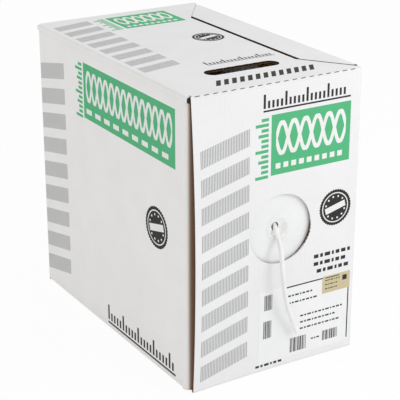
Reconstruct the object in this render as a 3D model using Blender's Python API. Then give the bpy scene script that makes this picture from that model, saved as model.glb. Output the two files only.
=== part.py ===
"""Cable spool box: a white corrugated carton that holds a spool of network cable.

Metres, +Z up. The origin is at the centre of the base and the front faces -Y.
The spool turns on a tube across the box, and the cable leaves by an outlet in the front.
"""

import math

import bmesh
import bpy
import numpy as np
from mathutils import Matrix, Vector

# Carton
BOX_WIDTH = 0.254
BOX_DEPTH = 0.406
BOX_HEIGHT = 0.381
BOARD = 0.0032
FOLD_INSIDE = 0.0018
EDGE_ROUND = 0.0022
PANEL_INSET = 0.005
FRONT_AIR = 0.0012
FLAP_END_GAP = 0.0015
FRONT_RIGHT_FLAP = 0.060

# Clearances
REST_GAP = 0.0003
RUNNING_GAP = 0.00035
END_PLAY = 0.0008

# Top: the flap with slanted ends and the hand hole
FLAP_WIDTH = 0.0473
FLAP_TAPER = 0.0653
FLAP_CORNER = 0.0045
SLIT = 0.0058
MITRE_GAP = 0.003
HAND_HOLE_LENGTH = 0.106
HAND_HOLE_WIDTH = 0.023
HAND_HOLE_TO_SLIT = 0.0259
HAND_HOLE_SETBACK = 0.074

# Front: the window and the cable outlet
WINDOW_DIAMETER = 0.092
OUTLET_X = 0.006
OUTLET_Z = 0.191
OUTLET_BORE = 0.025
THROAT_BORE = 0.0104
CUP_DEPTH = 0.0085
CUP_ROUND = 0.004
BUSHING_WALL = 0.0018
BUSHING_RIM = 0.0045
BUSHING_RIM_THICK = 0.0008
LOCK_RING_WIDTH = 0.004
LOCK_RING_THICK = 0.0025

# Labels
LABEL_WIDTH = 0.142
LABEL_HEIGHT = 0.101
LABEL_TO_EDGE = 0.004
LABEL_TO_FOOT = 0.010
STICKER_WIDTH = 0.0436
STICKER_HEIGHT = 0.0237
STICKER_TO_EDGE = 0.0008
LABEL_THICK = 0.0004

# Spool and what carries it
AXLE_DIAMETER = 0.038
AXLE_WALL = 0.004
SUPPORT_BOARD = 0.007
SPOOL_SIDE_ROOM = 0.0095
FLANGE_ROOM = 0.017
FLANGE_THICK = 0.009
FLANGE_CHAMFER = 0.0015
CORE_DIAMETER = 0.140
CORE_WALL = 0.005
HUB_SLEEVE_WALL = 0.006
HUB_COLLAR = 0.006
HUB_INSIDE = 0.006
BOLT_COUNT = 4
BOLT_DIAMETER = 0.008
BOLT_HEAD_DIAMETER = 0.0145
BOLT_HEAD_HEIGHT = 0.0045
BOLT_END = 0.001
NUT_ACROSS_CORNERS = 0.015
NUT_HEIGHT = 0.0052

# Cable
CABLE_DIAMETER = 0.006
PACK_BELOW_RIM = 0.025
TURN_GAP = 0.0017
POINTS_PER_TURN = 24
ROUTE_SPACING = 0.013
LEAD_WRAP_DEGREES = (118, 106, 94, 82, 70, 58, 46, 34, 22)
LEAD_WRAP_SAG = 0.0004
LEAD_X = (0.0260, 0.0250, 0.0236, 0.0220, 0.0202, 0.0182, 0.0160, 0.0137, 0.0113)
LEAD_TO_OUTLET = (
    (0.0095, -0.1540, 0.2285),
    (0.0081, -0.1640, 0.2110),
    (0.0072, -0.1750, 0.2010),
    (0.0061, -0.1902, 0.1914),
    (0.0026, -0.1995, 0.1834),
)
TAIL = (
    (0.0023, -0.2005, 0.1825),
    (0.0018, -0.2054, 0.1791),
    (0.0013, -0.2102, 0.1730),
    (0.0008, -0.2140, 0.1650),
    (0.0003, -0.2164, 0.1565),
    (0.0001, -0.2177, 0.1475),
    (0.0010, -0.2185, 0.1360),
    (0.0032, -0.2180, 0.1217),
    (0.0064, -0.2170, 0.1065),
    (0.0122, -0.2152, 0.0870),
    (0.0180, -0.2136, 0.0735),
    (0.0226, -0.2122, 0.0631),
    (0.0270, -0.2109, 0.0529),
    (0.0301, -0.2100, 0.0465),
)

# Facets
ROUND_STEPS = 48
SMALL_ROUND_STEPS = 16
HOLE_END_STEPS = 10
FOLD_STEPS = 5
EDGE_STEPS = 3
CROWN_DEGREES = 69
SMOOTH_DEGREES = 35
ROUTE_FINENESS = 40
WINDING_RESOLUTION = 1
CABLE_RESOLUTION = 2

# Places that follow from the sizes above
SIDE = BOX_WIDTH / 2
FRONT = -BOX_DEPTH / 2
BACK = BOX_DEPTH / 2
FOLD_RADIUS = BOARD + FOLD_INSIDE
FLOOR = BOARD + REST_GAP
LID_UNDER = BOX_HEIGHT - BOARD
WALL_TOP = LID_UNDER - REST_GAP
INNER_FACE = FRONT + BOARD + FRONT_AIR
INNER_BACK = INNER_FACE + BOARD
RIGHT_FLAP_FACE = INNER_BACK + REST_GAP
BACK_FLAP_FACE = BACK - BOARD - REST_GAP
INSIDE_FRONT = RIGHT_FLAP_FACE + BOARD
SEAM = SIDE - FLAP_WIDTH
AXLE_HEIGHT = (FLOOR + LID_UNDER) / 2
SUPPORT_FACE = SIDE - BOARD - REST_GAP - SUPPORT_BOARD
FLANGE_OUTER = SUPPORT_FACE - SPOOL_SIDE_ROOM
FLANGE_INNER = FLANGE_OUTER - FLANGE_THICK
FLANGE_RADIUS = min(AXLE_HEIGHT - FLOOR, -INSIDE_FRONT) - FLANGE_ROOM
HUB_BORE = AXLE_DIAMETER / 2 + RUNNING_GAP
HUB_SLEEVE = HUB_BORE + HUB_SLEEVE_WALL
HUB_RIM = HUB_SLEEVE + HUB_COLLAR
CORE_INSIDE = CORE_DIAMETER / 2 - CORE_WALL
BOLT_CIRCLE_RADIUS = (HUB_RIM + CORE_INSIDE) / 2
CABLE_RADIUS = CABLE_DIAMETER / 2
PACK_RADIUS = FLANGE_RADIUS - PACK_BELOW_RIM
TURN_RADIUS = (PACK_RADIUS + REST_GAP + CABLE_RADIUS) / math.cos(math.pi / POINTS_PER_TURN)
WINDING_REACH = FLANGE_INNER - CABLE_RADIUS - 2 * REST_GAP
TURNS = int(2 * WINDING_REACH / (CABLE_DIAMETER + TURN_GAP))
LEAD_RADIUS = TURN_RADIUS + CABLE_DIAMETER + REST_GAP + LEAD_WRAP_SAG

# Colour, roughness and metallic value of each material
FINISHES = {
    "white_board": ((0.86, 0.87, 0.85), 0.75, 0.0),
    "kraft_board": ((0.46, 0.31, 0.18), 0.9, 0.0),
    "paper_tube": ((0.52, 0.40, 0.27), 0.85, 0.0),
    "plywood": ((0.62, 0.45, 0.27), 0.7, 0.0),
    "white_plastic": ((0.88, 0.88, 0.87), 0.4, 0.0),
    "zinc_steel": ((0.62, 0.63, 0.64), 0.35, 1.0),
    "white_jacket": ((0.86, 0.87, 0.86), 0.45, 0.0),
    "label_paper": ((0.90, 0.90, 0.89), 0.6, 0.0),
    "tan_paper": ((0.74, 0.66, 0.52), 0.65, 0.0),
}


def clear_scene():
    for obj in list(bpy.data.objects):
        bpy.data.objects.remove(obj, do_unlink=True)


def material(name):
    """The named finish, made once."""
    found = bpy.data.materials.get(name)
    if found:
        return found
    colour, roughness, metallic = FINISHES[name]
    made = bpy.data.materials.new(name)
    made.use_nodes = True
    shader = made.node_tree.nodes["Principled BSDF"]
    shader.inputs["Base Color"].default_value = (*colour, 1.0)
    shader.inputs["Roughness"].default_value = roughness
    shader.inputs["Metallic"].default_value = metallic
    return made


def pivot(name, place):
    """An empty on a joint's axis, which the pieces that turn there are parented to."""
    empty = bpy.data.objects.new(name, None)
    empty.location = place
    bpy.context.scene.collection.objects.link(empty)
    return empty


def attach(name, data, finish, parent):
    """A named object whose data, given in the box's frame, hangs on its parent empty."""
    data.transform(Matrix.Translation(-Vector(parent.location)))
    obj = bpy.data.objects.new(name, data)
    obj.parent = parent
    data.materials.append(material(finish))
    bpy.context.scene.collection.objects.link(obj)
    return obj


def arc(centre, radius, start, end, steps):
    """Points on an arc, angles in degrees, both ends included."""
    turn = np.radians(np.linspace(start, end, steps + 1))
    return [(centre[0] + radius * math.cos(a), centre[1] + radius * math.sin(a)) for a in turn]


def circle(centre, radius, steps):
    return arc(centre, radius, 0, 360, steps)[:-1]


def rectangle(low, high):
    return [low, (high[0], low[1]), high, (low[0], high[1])]


def prism(outline, axis, low, high, round_edges=None, round_by=0.0):
    """A mesh extruded from an outline along X (y, z), Y (x, z) or Z (x, y).

    round_edges picks the edges to round, from the middle of each.
    """
    place = {
        "X": lambda p: (low, p[0], p[1]),
        "Y": lambda p: (p[0], low, p[1]),
        "Z": lambda p: (p[0], p[1], low),
    }[axis]
    shape = bmesh.new()
    face = shape.faces.new([shape.verts.new(place(p)) for p in outline])
    grown = bmesh.ops.extrude_face_region(shape, geom=[face])["geom"]
    step = Vector((axis == "X", axis == "Y", axis == "Z")) * (high - low)
    bmesh.ops.translate(shape, vec=step, verts=[v for v in grown if isinstance(v, bmesh.types.BMVert)])
    if round_edges:
        chosen = [e for e in shape.edges if round_edges((e.verts[0].co + e.verts[1].co) / 2)]
        bmesh.ops.bevel(shape, geom=chosen, offset=round_by, segments=EDGE_STEPS, affect="EDGES")
    bmesh.ops.recalc_face_normals(shape, faces=shape.faces)
    mesh = bpy.data.meshes.new("prism")
    shape.to_mesh(mesh)
    shape.free()
    return mesh


def turned(profile, axis, centre, steps):
    """A mesh turned from a closed profile of (radius, distance along the axis) about X or Y."""
    direction = Vector((1, 0, 0)) if axis == "X" else Vector((0, 1, 0))
    out = Vector((0, 0, 1))
    shape = bmesh.new()
    ring = [shape.verts.new(out * radius + direction * along) for radius, along in profile]
    edges = [shape.edges.new((ring[i - 1], ring[i])) for i in range(len(ring))]
    bmesh.ops.spin(
        shape,
        geom=ring + edges,
        cent=(0, 0, 0),
        axis=direction,
        angle=2 * math.pi,
        steps=steps,
        use_merge=True,
    )
    bmesh.ops.remove_doubles(shape, verts=shape.verts, dist=1e-6)
    bmesh.ops.recalc_face_normals(shape, faces=shape.faces)
    bmesh.ops.translate(shape, vec=centre, verts=shape.verts)
    mesh = bpy.data.meshes.new("turned")
    shape.to_mesh(mesh)
    shape.free()
    mesh.shade_smooth()
    mesh.set_sharp_from_angle(angle=math.radians(SMOOTH_DEGREES))
    return mesh


def tube_profile(inner, outer, low, high):
    return [(inner, low), (outer, low), (outer, high), (inner, high)]


def cut(target, name, mesh):
    """Takes a cutter's shape out of an object."""
    cutter = bpy.data.objects.new(name, mesh)
    cutter.hide_render = True
    cutter.display_type = "WIRE"
    bpy.context.scene.collection.objects.link(cutter)
    boolean = target.modifiers.new(name, "BOOLEAN")
    boolean.operation = "DIFFERENCE"
    boolean.solver = "EXACT"
    boolean.object = cutter


def side_panel(name, side, front_face, parent):
    """A side of the box, folded round at its front and back edges. side is -1 for the left."""
    front_fold = (SIDE - FOLD_RADIUS, front_face + FOLD_RADIUS)
    back_fold = (SIDE - FOLD_RADIUS, BACK_FLAP_FACE - FOLD_RADIUS)

    def skin(radius):
        return arc(front_fold, radius, -90, 0, FOLD_STEPS) + arc(back_fold, radius, 0, 90, FOLD_STEPS)

    outline = [(side * x, y) for x, y in skin(FOLD_RADIUS) + skin(FOLD_INSIDE)[::-1]]
    attach(name, prism(outline, "Z", FLOOR, WALL_TOP), "white_board", parent)


def panel_across(name, x_range, y_range, z_range, parent):
    """A flat panel or flap that stands across the box."""
    outline = rectangle((x_range[0], z_range[0]), (x_range[1], z_range[1]))
    return attach(name, prism(outline, "Y", *y_range), "white_board", parent)


def make_walls(carton):
    side_panel("left_side_panel", -1, INNER_FACE, carton)
    side_panel("right_side_panel", 1, RIGHT_FLAP_FACE, carton)

    base = arc((-SIDE + EDGE_ROUND, EDGE_ROUND), EDGE_ROUND, 180, 270, EDGE_STEPS)
    base += arc((SIDE - EDGE_ROUND, EDGE_ROUND), EDGE_ROUND, 270, 360, EDGE_STEPS)
    base += [(SIDE, BOARD), (-SIDE, BOARD)]
    bottom = prism(base, "Y", FRONT + BOARD + REST_GAP, BACK - BOARD - REST_GAP)
    attach("bottom_panel", bottom, "white_board", carton)

    wide = (-SIDE + PANEL_INSET, SIDE - PANEL_INSET)
    tall = (0.0, WALL_TOP)
    standing = (FLOOR, WALL_TOP)
    front = panel_across("front_panel", wide, (FRONT, FRONT + BOARD), tall, carton)
    window = circle((OUTLET_X, OUTLET_Z), WINDOW_DIAMETER / 2, ROUND_STEPS)
    cut(front, "window_cutter", prism(window, "Y", FRONT - BOARD, FRONT + 2 * BOARD))
    panel_across("back_panel", wide, (BACK - BOARD, BACK), tall, carton)

    fold_end = SIDE - FOLD_RADIUS - REST_GAP
    inner = panel_across(
        "front_inner_flap", (-fold_end, SIDE - FLAP_END_GAP), (INNER_FACE, INNER_BACK), standing, carton
    )
    seat = OUTLET_BORE / 2 + BUSHING_WALL + REST_GAP
    hole = circle((OUTLET_X, OUTLET_Z), seat, ROUND_STEPS)
    cut(inner, "outlet_cutter", prism(hole, "Y", INNER_FACE - BOARD, INNER_BACK + BOARD))
    right_flap = (fold_end - FRONT_RIGHT_FLAP, fold_end)
    in_front = (RIGHT_FLAP_FACE, INSIDE_FRONT)
    panel_across("front_right_flap", right_flap, in_front, standing, carton)
    behind = (BACK_FLAP_FACE - BOARD, BACK_FLAP_FACE)
    panel_across("back_left_flap", (-fold_end, -FLAP_END_GAP), behind, standing, carton)
    panel_across("back_right_flap", (FLAP_END_GAP, fold_end), behind, standing, carton)


def make_top(lid_fold, flap_fold):
    """The top panel, the flap with slanted ends and the slit between them."""
    slant = Vector((-FLAP_WIDTH, FLAP_TAPER)).normalized()
    aside = Vector((-slant.y, slant.x)) * MITRE_GAP
    start = Vector((SIDE, FRONT + MITRE_GAP / abs(slant.x)))
    lid_edge = start + aside
    corner_x = lid_edge.x + (FRONT - lid_edge.y) * slant.x / slant.y
    lid_seam = SEAM - SLIT
    kink_y = lid_edge.y + (lid_seam - lid_edge.x) * slant.y / slant.x
    seam_y = start.y + (SEAM - start.x) * slant.y / slant.x

    lid = [(-SIDE, FRONT), (corner_x, FRONT), (lid_seam, kink_y)]
    lid += [(lid_seam, -kink_y), (corner_x, BACK), (-SIDE, BACK)]
    top = BOX_HEIGHT - BOARD / 2

    def lid_folds(middle):
        return middle.z > top and (middle.x < -SIDE + EDGE_ROUND or middle.y < FRONT + EDGE_ROUND)

    def flap_folds(middle):
        return middle.z > top and middle.x > SIDE - EDGE_ROUND / 4

    lid_mesh = prism(lid, "Z", LID_UNDER, BOX_HEIGHT, lid_folds, EDGE_ROUND)
    panel = attach("top_panel", lid_mesh, "white_board", lid_fold)
    radius = HAND_HOLE_WIDTH / 2
    right_x = lid_seam - HAND_HOLE_TO_SLIT - radius
    left_x = right_x - HAND_HOLE_LENGTH + 2 * radius
    hole_y = FRONT + HAND_HOLE_SETBACK
    slot = arc((left_x, hole_y), radius, 90, 270, HOLE_END_STEPS)
    slot += arc((right_x, hole_y), radius, -90, 90, HOLE_END_STEPS)
    cut(panel, "hand_hole_cutter", prism(slot, "Z", LID_UNDER - BOARD, BOX_HEIGHT + BOARD))

    # The flap's corners are cut back, so that its underside clears the top panel as it opens.
    taper = FLAP_TAPER / FLAP_WIDTH
    hinge_y = FRONT + BOARD * taper + REST_GAP
    corner_y = start.y + FLAP_CORNER * taper
    eased_x = SIDE - FLAP_CORNER
    flap = [(SIDE, hinge_y), (SIDE, -hinge_y), (eased_x, -corner_y)]
    flap += [(SEAM, -seam_y), (SEAM, seam_y), (eased_x, corner_y)]
    flap_mesh = prism(flap, "Z", LID_UNDER, BOX_HEIGHT, flap_folds, EDGE_ROUND)
    attach("right_top_flap", flap_mesh, "white_board", flap_fold)


def make_outlet(carton):
    """The bushing, a round cup with a throat for the cable, and the ring that locks it from behind."""
    bore = OUTLET_BORE / 2
    throat = THROAT_BORE / 2
    sleeve = bore + BUSHING_WALL
    rim_back = INNER_FACE - REST_GAP
    rim_front = rim_back - BUSHING_RIM_THICK
    ring_front = INNER_BACK + REST_GAP
    ring_back = ring_front + LOCK_RING_THICK
    lip = BUSHING_WALL / 2
    mouth = [(bore + lip - x, rim_front + lip - y) for x, y in arc((0, 0), lip, 0, 90, EDGE_STEPS)]
    profile = mouth + [(sleeve + BUSHING_RIM, rim_front), (sleeve + BUSHING_RIM, rim_back)]
    cup_floor = rim_front + CUP_DEPTH
    cup_back = cup_floor + BUSHING_WALL
    profile += [(sleeve, rim_back), (sleeve, cup_back), (throat, cup_back), (throat, cup_floor)]
    profile += arc((bore - CUP_ROUND, cup_floor - CUP_ROUND), CUP_ROUND, 90, 0, 2 * EDGE_STEPS)
    centre = (OUTLET_X, 0, OUTLET_Z)
    attach("payout_bushing", turned(profile, "Y", centre, ROUND_STEPS), "white_plastic", carton)
    ring = tube_profile(sleeve + REST_GAP, sleeve + REST_GAP + LOCK_RING_WIDTH, ring_front, ring_back)
    attach("bushing_lock_ring", turned(ring, "Y", centre, ROUND_STEPS), "white_plastic", carton)


def make_labels(carton):
    """The white label, and the tan sticker at its upper right corner."""
    right = SIDE - PANEL_INSET - LABEL_TO_EDGE
    top = LABEL_TO_FOOT + LABEL_HEIGHT

    def sheet(name, corner, width, height, layer, finish):
        back = FRONT - REST_GAP - layer * (LABEL_THICK + REST_GAP)
        outline = rectangle((corner[0] - width, corner[1] - height), corner)
        attach(name, prism(outline, "Y", back - LABEL_THICK, back), finish, carton)

    sheet("shipping_label", (right, top), LABEL_WIDTH, LABEL_HEIGHT, 0, "label_paper")
    corner = (right - STICKER_TO_EDGE, top - STICKER_TO_EDGE)
    sheet("tan_sticker", corner, STICKER_WIDTH, STICKER_HEIGHT, 1, "tan_paper")


def make_axle(carton):
    """The two boards that stand inside the sides, and the tube that they carry."""
    front = RIGHT_FLAP_FACE + FOLD_RADIUS + REST_GAP
    back = BACK_FLAP_FACE - FOLD_RADIUS - REST_GAP
    outline = rectangle((front, FLOOR), (back, WALL_TOP))
    hole = circle((0, AXLE_HEIGHT), AXLE_DIAMETER / 2 + REST_GAP, ROUND_STEPS)
    for name, side in (("left_axle_board", -1), ("right_axle_board", 1)):
        faces = sorted((side * SUPPORT_FACE, side * (SUPPORT_FACE + SUPPORT_BOARD)))
        board = attach(name, prism(outline, "X", *faces), "kraft_board", carton)
        cutter = prism(hole, "X", faces[0] - BOARD, faces[1] + BOARD)
        cut(board, name + "_cutter", cutter)
    reach = SIDE - BOARD - REST_GAP
    outer = AXLE_DIAMETER / 2
    tube = tube_profile(outer - AXLE_WALL, outer, -reach, reach)
    attach("axle_tube", turned(tube, "X", (0, 0, AXLE_HEIGHT), ROUND_STEPS), "paper_tube", carton)


def make_spool(spool):
    """The flanges, hub bushes and core, and the bolts and nuts that clamp them."""
    centre = (0, 0, AXLE_HEIGHT)
    arbor = HUB_SLEEVE + REST_GAP
    rim, eased_rim = FLANGE_RADIUS, FLANGE_RADIUS - FLANGE_CHAMFER
    bolt_hole = BOLT_DIAMETER / 2 + REST_GAP
    first_bolt = 180 / BOLT_COUNT
    bolts = arc((0, AXLE_HEIGHT), BOLT_CIRCLE_RADIUS, first_bolt, first_bolt + 360, BOLT_COUNT)[:-1]

    for side, word in ((-1, "left"), (1, "right")):
        inner_x, outer_x = side * FLANGE_INNER, side * FLANGE_OUTER
        inset = side * FLANGE_CHAMFER
        profile = [(arbor, inner_x), (eased_rim, inner_x), (rim, inner_x + inset)]
        profile += [(rim, outer_x - inset), (eased_rim, outer_x), (arbor, outer_x)]
        flange = attach(word + "_flange", turned(profile, "X", centre, ROUND_STEPS), "plywood", spool)
        for i, place in enumerate(bolts):
            hole = circle(place, bolt_hole, SMALL_ROUND_STEPS)
            faces = sorted((inner_x - inset, outer_x + inset))
            cut(flange, f"{word}_bolt_cutter_{i + 1}", prism(hole, "X", *faces))
        collar_in = side * (FLANGE_OUTER + REST_GAP)
        collar_out = side * (SUPPORT_FACE - END_PLAY)
        sleeve_in = side * (FLANGE_INNER - HUB_INSIDE)
        hub = [(HUB_BORE, sleeve_in), (HUB_SLEEVE, sleeve_in), (HUB_SLEEVE, collar_in)]
        hub += [(HUB_RIM, collar_in), (HUB_RIM, collar_out), (HUB_BORE, collar_out)]
        attach(word + "_hub_bush", turned(hub, "X", centre, ROUND_STEPS), "white_plastic", spool)

    length = FLANGE_INNER - REST_GAP
    core = tube_profile(CORE_INSIDE, CORE_DIAMETER / 2, -length, length)
    attach("spool_core", turned(core, "X", centre, ROUND_STEPS), "paper_tube", spool)

    shank, head = BOLT_DIAMETER / 2, BOLT_HEAD_DIAMETER / 2
    nut_seat = FLANGE_OUTER + REST_GAP
    seat = -nut_seat
    dome = arc((0, 0), 1, 0, CROWN_DEGREES, EDGE_STEPS)
    crown = [(head * across, seat - BOLT_HEAD_HEIGHT * up) for across, up in dome]
    end = nut_seat + NUT_HEIGHT + BOLT_END
    bolt_profile = [(0, end), (shank, end), (shank, seat), *crown, (0, seat - BOLT_HEAD_HEIGHT)]
    hexagon = NUT_ACROSS_CORNERS / 2
    for i, (y, z) in enumerate(bolts):
        bolt = turned(bolt_profile, "X", (0, y, z), SMALL_ROUND_STEPS)
        attach(f"tie_bolt_{i + 1}", bolt, "zinc_steel", spool)
        nut = prism(circle((y, z), hexagon, 6), "X", nut_seat, nut_seat + NUT_HEIGHT)
        made = attach(f"tie_nut_{i + 1}", nut, "zinc_steel", spool)
        thread = circle((y, z), bolt_hole, SMALL_ROUND_STEPS)
        cutter = prism(thread, "X", nut_seat - BOLT_END, nut_seat + NUT_HEIGHT + BOLT_END)
        cut(made, f"nut_cutter_{i + 1}", cutter)


def cable(name, points, resolution, parent):
    """A round cable with filled ends along the given points."""
    curve = bpy.data.curves.new(name, "CURVE")
    curve.dimensions = "3D"
    curve.bevel_depth = CABLE_RADIUS
    curve.bevel_resolution = resolution
    curve.use_fill_caps = True
    spline = curve.splines.new("POLY")
    spline.points.add(len(points) - 1)
    for point, place in zip(spline.points, points):
        point.co = (*place, 1.0)
    return attach(name, curve, "white_jacket", parent)


def smooth_route(points, spacing):
    """Evenly spaced points on a smooth curve through a route's own points."""
    knots = [Vector(p) for p in points]
    knots = [2 * knots[0] - knots[1], *knots, 2 * knots[-1] - knots[-2]]
    fine = []
    for a, b, c, d in zip(knots, knots[1:], knots[2:], knots[3:]):
        square = 2 * a - 5 * b + 4 * c - d
        cube = 3 * b - a - 3 * c + d
        for t in np.linspace(0, 1, ROUTE_FINENESS, endpoint=False):
            fine.append((2 * b + (c - a) * t + square * t**2 + cube * t**3) / 2)
    fine = np.array([*fine, knots[-2]])
    along = np.concatenate([[0], np.cumsum(np.linalg.norm(np.diff(fine, axis=0), axis=1))])
    at = np.linspace(0, along[-1], round(along[-1] / spacing) + 1)
    return np.stack([np.interp(at, along, fine[:, k]) for k in range(3)], axis=1)


def winding_points():
    """One layer of turns across the spool, with a straight run of one diameter at each end."""
    count = TURNS * POINTS_PER_TURN
    angle = np.arange(count + 1) * 2 * math.pi / POINTS_PER_TURN
    x = np.linspace(-WINDING_REACH, WINDING_REACH, count + 1)
    y = TURN_RADIUS * np.sin(angle)
    z = AXLE_HEIGHT + TURN_RADIUS * np.cos(angle)
    points = np.stack([x, y, z], axis=1)
    first = points[0] - np.array([0, CABLE_DIAMETER, 0])
    last = points[-1] + np.array([0, CABLE_DIAMETER, 0])
    return np.array([first, *points, last])


def least_gap(points):
    """The least distance between the surfaces of turns that lie side by side."""
    apart = np.linalg.norm(points[:, None] - points[None], axis=2)
    index = np.arange(len(points))
    other_turn = np.abs(index[:, None] - index[None]) > POINTS_PER_TURN // 2
    return apart[other_turn].min() - CABLE_DIAMETER


def make_cable(spool, carton):
    """The wound cable, the lead from its top to the outlet and the tail that hangs outside."""
    inner = CORE_DIAMETER / 2 + REST_GAP
    reach = FLANGE_INNER - REST_GAP
    pack = tube_profile(inner, PACK_RADIUS, -reach, reach)
    attach("cable_pack", turned(pack, "X", (0, 0, AXLE_HEIGHT), ROUND_STEPS), "white_jacket", spool)
    turns = winding_points()
    print(f"least gap between turns: {least_gap(turns) * 1000:.2f} mm")
    cable("cable_winding", turns, WINDING_RESOLUTION, spool)

    angles = np.radians(LEAD_WRAP_DEGREES)
    wrap_y = -LEAD_RADIUS * np.cos(angles)
    wrap_z = AXLE_HEIGHT + LEAD_RADIUS * np.sin(angles)
    lead = smooth_route([*zip(LEAD_X, wrap_y, wrap_z), *LEAD_TO_OUTLET], ROUTE_SPACING)
    cable("cable_lead", lead, CABLE_RESOLUTION, carton)
    tail = smooth_route(TAIL, ROUTE_SPACING)
    print(f"tail length: {np.linalg.norm(np.diff(tail, axis=0), axis=1).sum() * 1000:.1f} mm")
    cable("cable_tail", tail, CABLE_RESOLUTION, carton)


def main():
    clear_scene()
    carton = pivot("carton", (0, 0, 0))
    lid_fold = pivot("lid_fold", (-SIDE, 0, BOX_HEIGHT))
    flap_fold = pivot("flap_fold", (SIDE, 0, BOX_HEIGHT))
    spool = pivot("spool_axis", (0, 0, AXLE_HEIGHT))
    make_walls(carton)
    make_top(lid_fold, flap_fold)
    make_outlet(carton)
    make_labels(carton)
    make_axle(carton)
    make_spool(spool)
    make_cable(spool, carton)


main()
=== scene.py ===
import math

import bmesh
import bpy
import numpy as np
from mathutils import Matrix, Vector


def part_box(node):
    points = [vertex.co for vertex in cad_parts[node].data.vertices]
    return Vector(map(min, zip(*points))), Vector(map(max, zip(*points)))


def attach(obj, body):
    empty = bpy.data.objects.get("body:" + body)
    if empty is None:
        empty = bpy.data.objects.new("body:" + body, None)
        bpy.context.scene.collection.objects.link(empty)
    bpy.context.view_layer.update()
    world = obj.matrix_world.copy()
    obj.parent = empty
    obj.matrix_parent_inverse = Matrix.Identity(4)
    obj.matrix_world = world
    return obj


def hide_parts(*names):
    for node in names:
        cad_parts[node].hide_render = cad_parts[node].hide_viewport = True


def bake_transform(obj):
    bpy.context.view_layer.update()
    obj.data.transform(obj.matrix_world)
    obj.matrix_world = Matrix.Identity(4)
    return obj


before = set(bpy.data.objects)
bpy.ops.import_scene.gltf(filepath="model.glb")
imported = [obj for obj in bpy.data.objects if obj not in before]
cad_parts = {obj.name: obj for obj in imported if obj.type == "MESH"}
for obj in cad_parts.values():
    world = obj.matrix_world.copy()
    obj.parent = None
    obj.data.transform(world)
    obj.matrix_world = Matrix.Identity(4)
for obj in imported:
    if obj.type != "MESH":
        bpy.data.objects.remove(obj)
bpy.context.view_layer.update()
print("frame loaded:", len(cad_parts), "CAD nodes")


# Camera at the photograph's viewing angle

cameraView = {
    "eye": (-0.886, -1.484, 0.8336),
    "back": (-0.4831, -0.7974, 0.3615),
    "focalPixels": 1364.06,
    "framePixels": 400,
    "sensor": 36.0,  # mm
}


def aim(thing, direction):
    thing.rotation_mode = "QUATERNION"
    thing.rotation_quaternion = direction.to_track_quat("-Z", "Y")


def makeCamera(look):
    data = bpy.data.cameras.new("photoCamera")
    data.sensor_width = look["sensor"]
    data.lens = look["sensor"] * look["focalPixels"] / look["framePixels"]
    camera = bpy.data.objects.new("photoCamera", data)
    camera.location = look["eye"]
    aim(camera, -Vector(look["back"]))
    bpy.context.scene.collection.objects.link(camera)
    bpy.context.scene.camera = camera


makeCamera(cameraView)
bpy.context.scene.view_settings.view_transform = "Standard"
print("camera placed")


# Places that the pieces share, read from the frame

def low(node):
    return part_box(node)[0]


def high(node):
    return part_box(node)[1]


def halfTall(node):
    return (high(node).z - low(node).z) / 2


tiny = 1e-6
seatGap = 0.0003  # pieces that touch on the real object lie this far apart
inkRoom = 0.00012  # outer faces lie this far inside the CAD faces, so print stays in the box
alongX, alongY, alongZ = Vector((1, 0, 0)), Vector((0, 1, 0)), Vector((0, 0, 1))
carton = {
    "left": low("left_side_panel").x,
    "right": high("right_side_panel").x,
    "front": low("front_panel").y,
    "back": high("back_panel").y,
    "top": high("top_panel").z,
    "lidUnder": low("top_panel").z,
    "wallTop": high("front_panel").z,
    "board": high("front_panel").y - low("front_panel").y,
    "innerFace": low("front_inner_flap").y,
    "rightFlapFace": low("front_right_flap").y,
    "backFlapFace": high("back_left_flap").y,
    "panelEdge": high("front_panel").x,
    "foldRadius": 0.005,
    "creaseRadius": 0.0032,
    "creaseLeg": 0.007,
    "flutePitch": 0.0064,
}
axleHeight = (low("axle_tube").z + high("axle_tube").z) / 2
onAxle = (0, 0, axleHeight)
outlet = (low("payout_bushing") + high("payout_bushing")) / 2
boardSkin = carton["board"] - inkRoom


# Colours and shader tools

def paint(shades):  # display values of 0 to 255 as linear colour
    def linear(value):
        share = value / 255
        return share / 12.92 if share <= 0.04045 else ((share + 0.055) / 1.055) ** 2.4
    return (*map(linear, shades), 1.0)


def addNode(tree, kind, values=None, **settings):
    node = tree.nodes.new(kind)
    for key, value in settings.items():
        setattr(node, key, value)
    for key, value in (values or {}).items():
        if isinstance(value, bpy.types.NodeSocket):
            tree.links.new(value, node.inputs[key])
        else:
            node.inputs[key].default_value = value
    return node


def calc(tree, operation, first, second=0.0, clamp=False):
    values = {0: first, 1: second}
    return addNode(tree, "ShaderNodeMath", values, operation=operation, use_clamp=clamp).outputs[0]


def vectorCalc(tree, operation, first, second=(0, 0, 0), output="Vector"):
    values = {0: first, 1: second}
    return addNode(tree, "ShaderNodeVectorMath", values, operation=operation).outputs[output]


def weigh(tree, first, firstShare, second, secondShare):
    parts = calc(tree, "MULTIPLY", first, firstShare), calc(tree, "MULTIPLY", second, secondShare)
    return calc(tree, "ADD", *parts)


def mixColour(tree, share, first, second):
    return addNode(tree, "ShaderNodeMix", {0: share, 6: first, 7: second}, data_type="RGBA").outputs[2]


def tint(tree, colour, shades, mask, amount):
    return mixColour(tree, calc(tree, "MULTIPLY", mask, amount), colour, paint(shades))


def spread(tree, value, fromLow, fromHigh, toLow=0.0, toHigh=1.0):
    values = {0: value, 1: fromLow, 2: fromHigh, 3: toLow, 4: toHigh}
    return addNode(tree, "ShaderNodeMapRange", values, clamp=True).outputs[0]


noiseRange = (0.3, 0.7)  # nearly all of a noise texture's values lie between these


def noise(tree, place, scale, detail, roughness, stretch=None):
    if stretch:
        place = vectorCalc(tree, "MULTIPLY", place, stretch)
    values = {"Vector": place, "Scale": scale, "Detail": detail, "Roughness": roughness}
    return addNode(tree, "ShaderNodeTexNoise", values).outputs[0]


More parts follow.
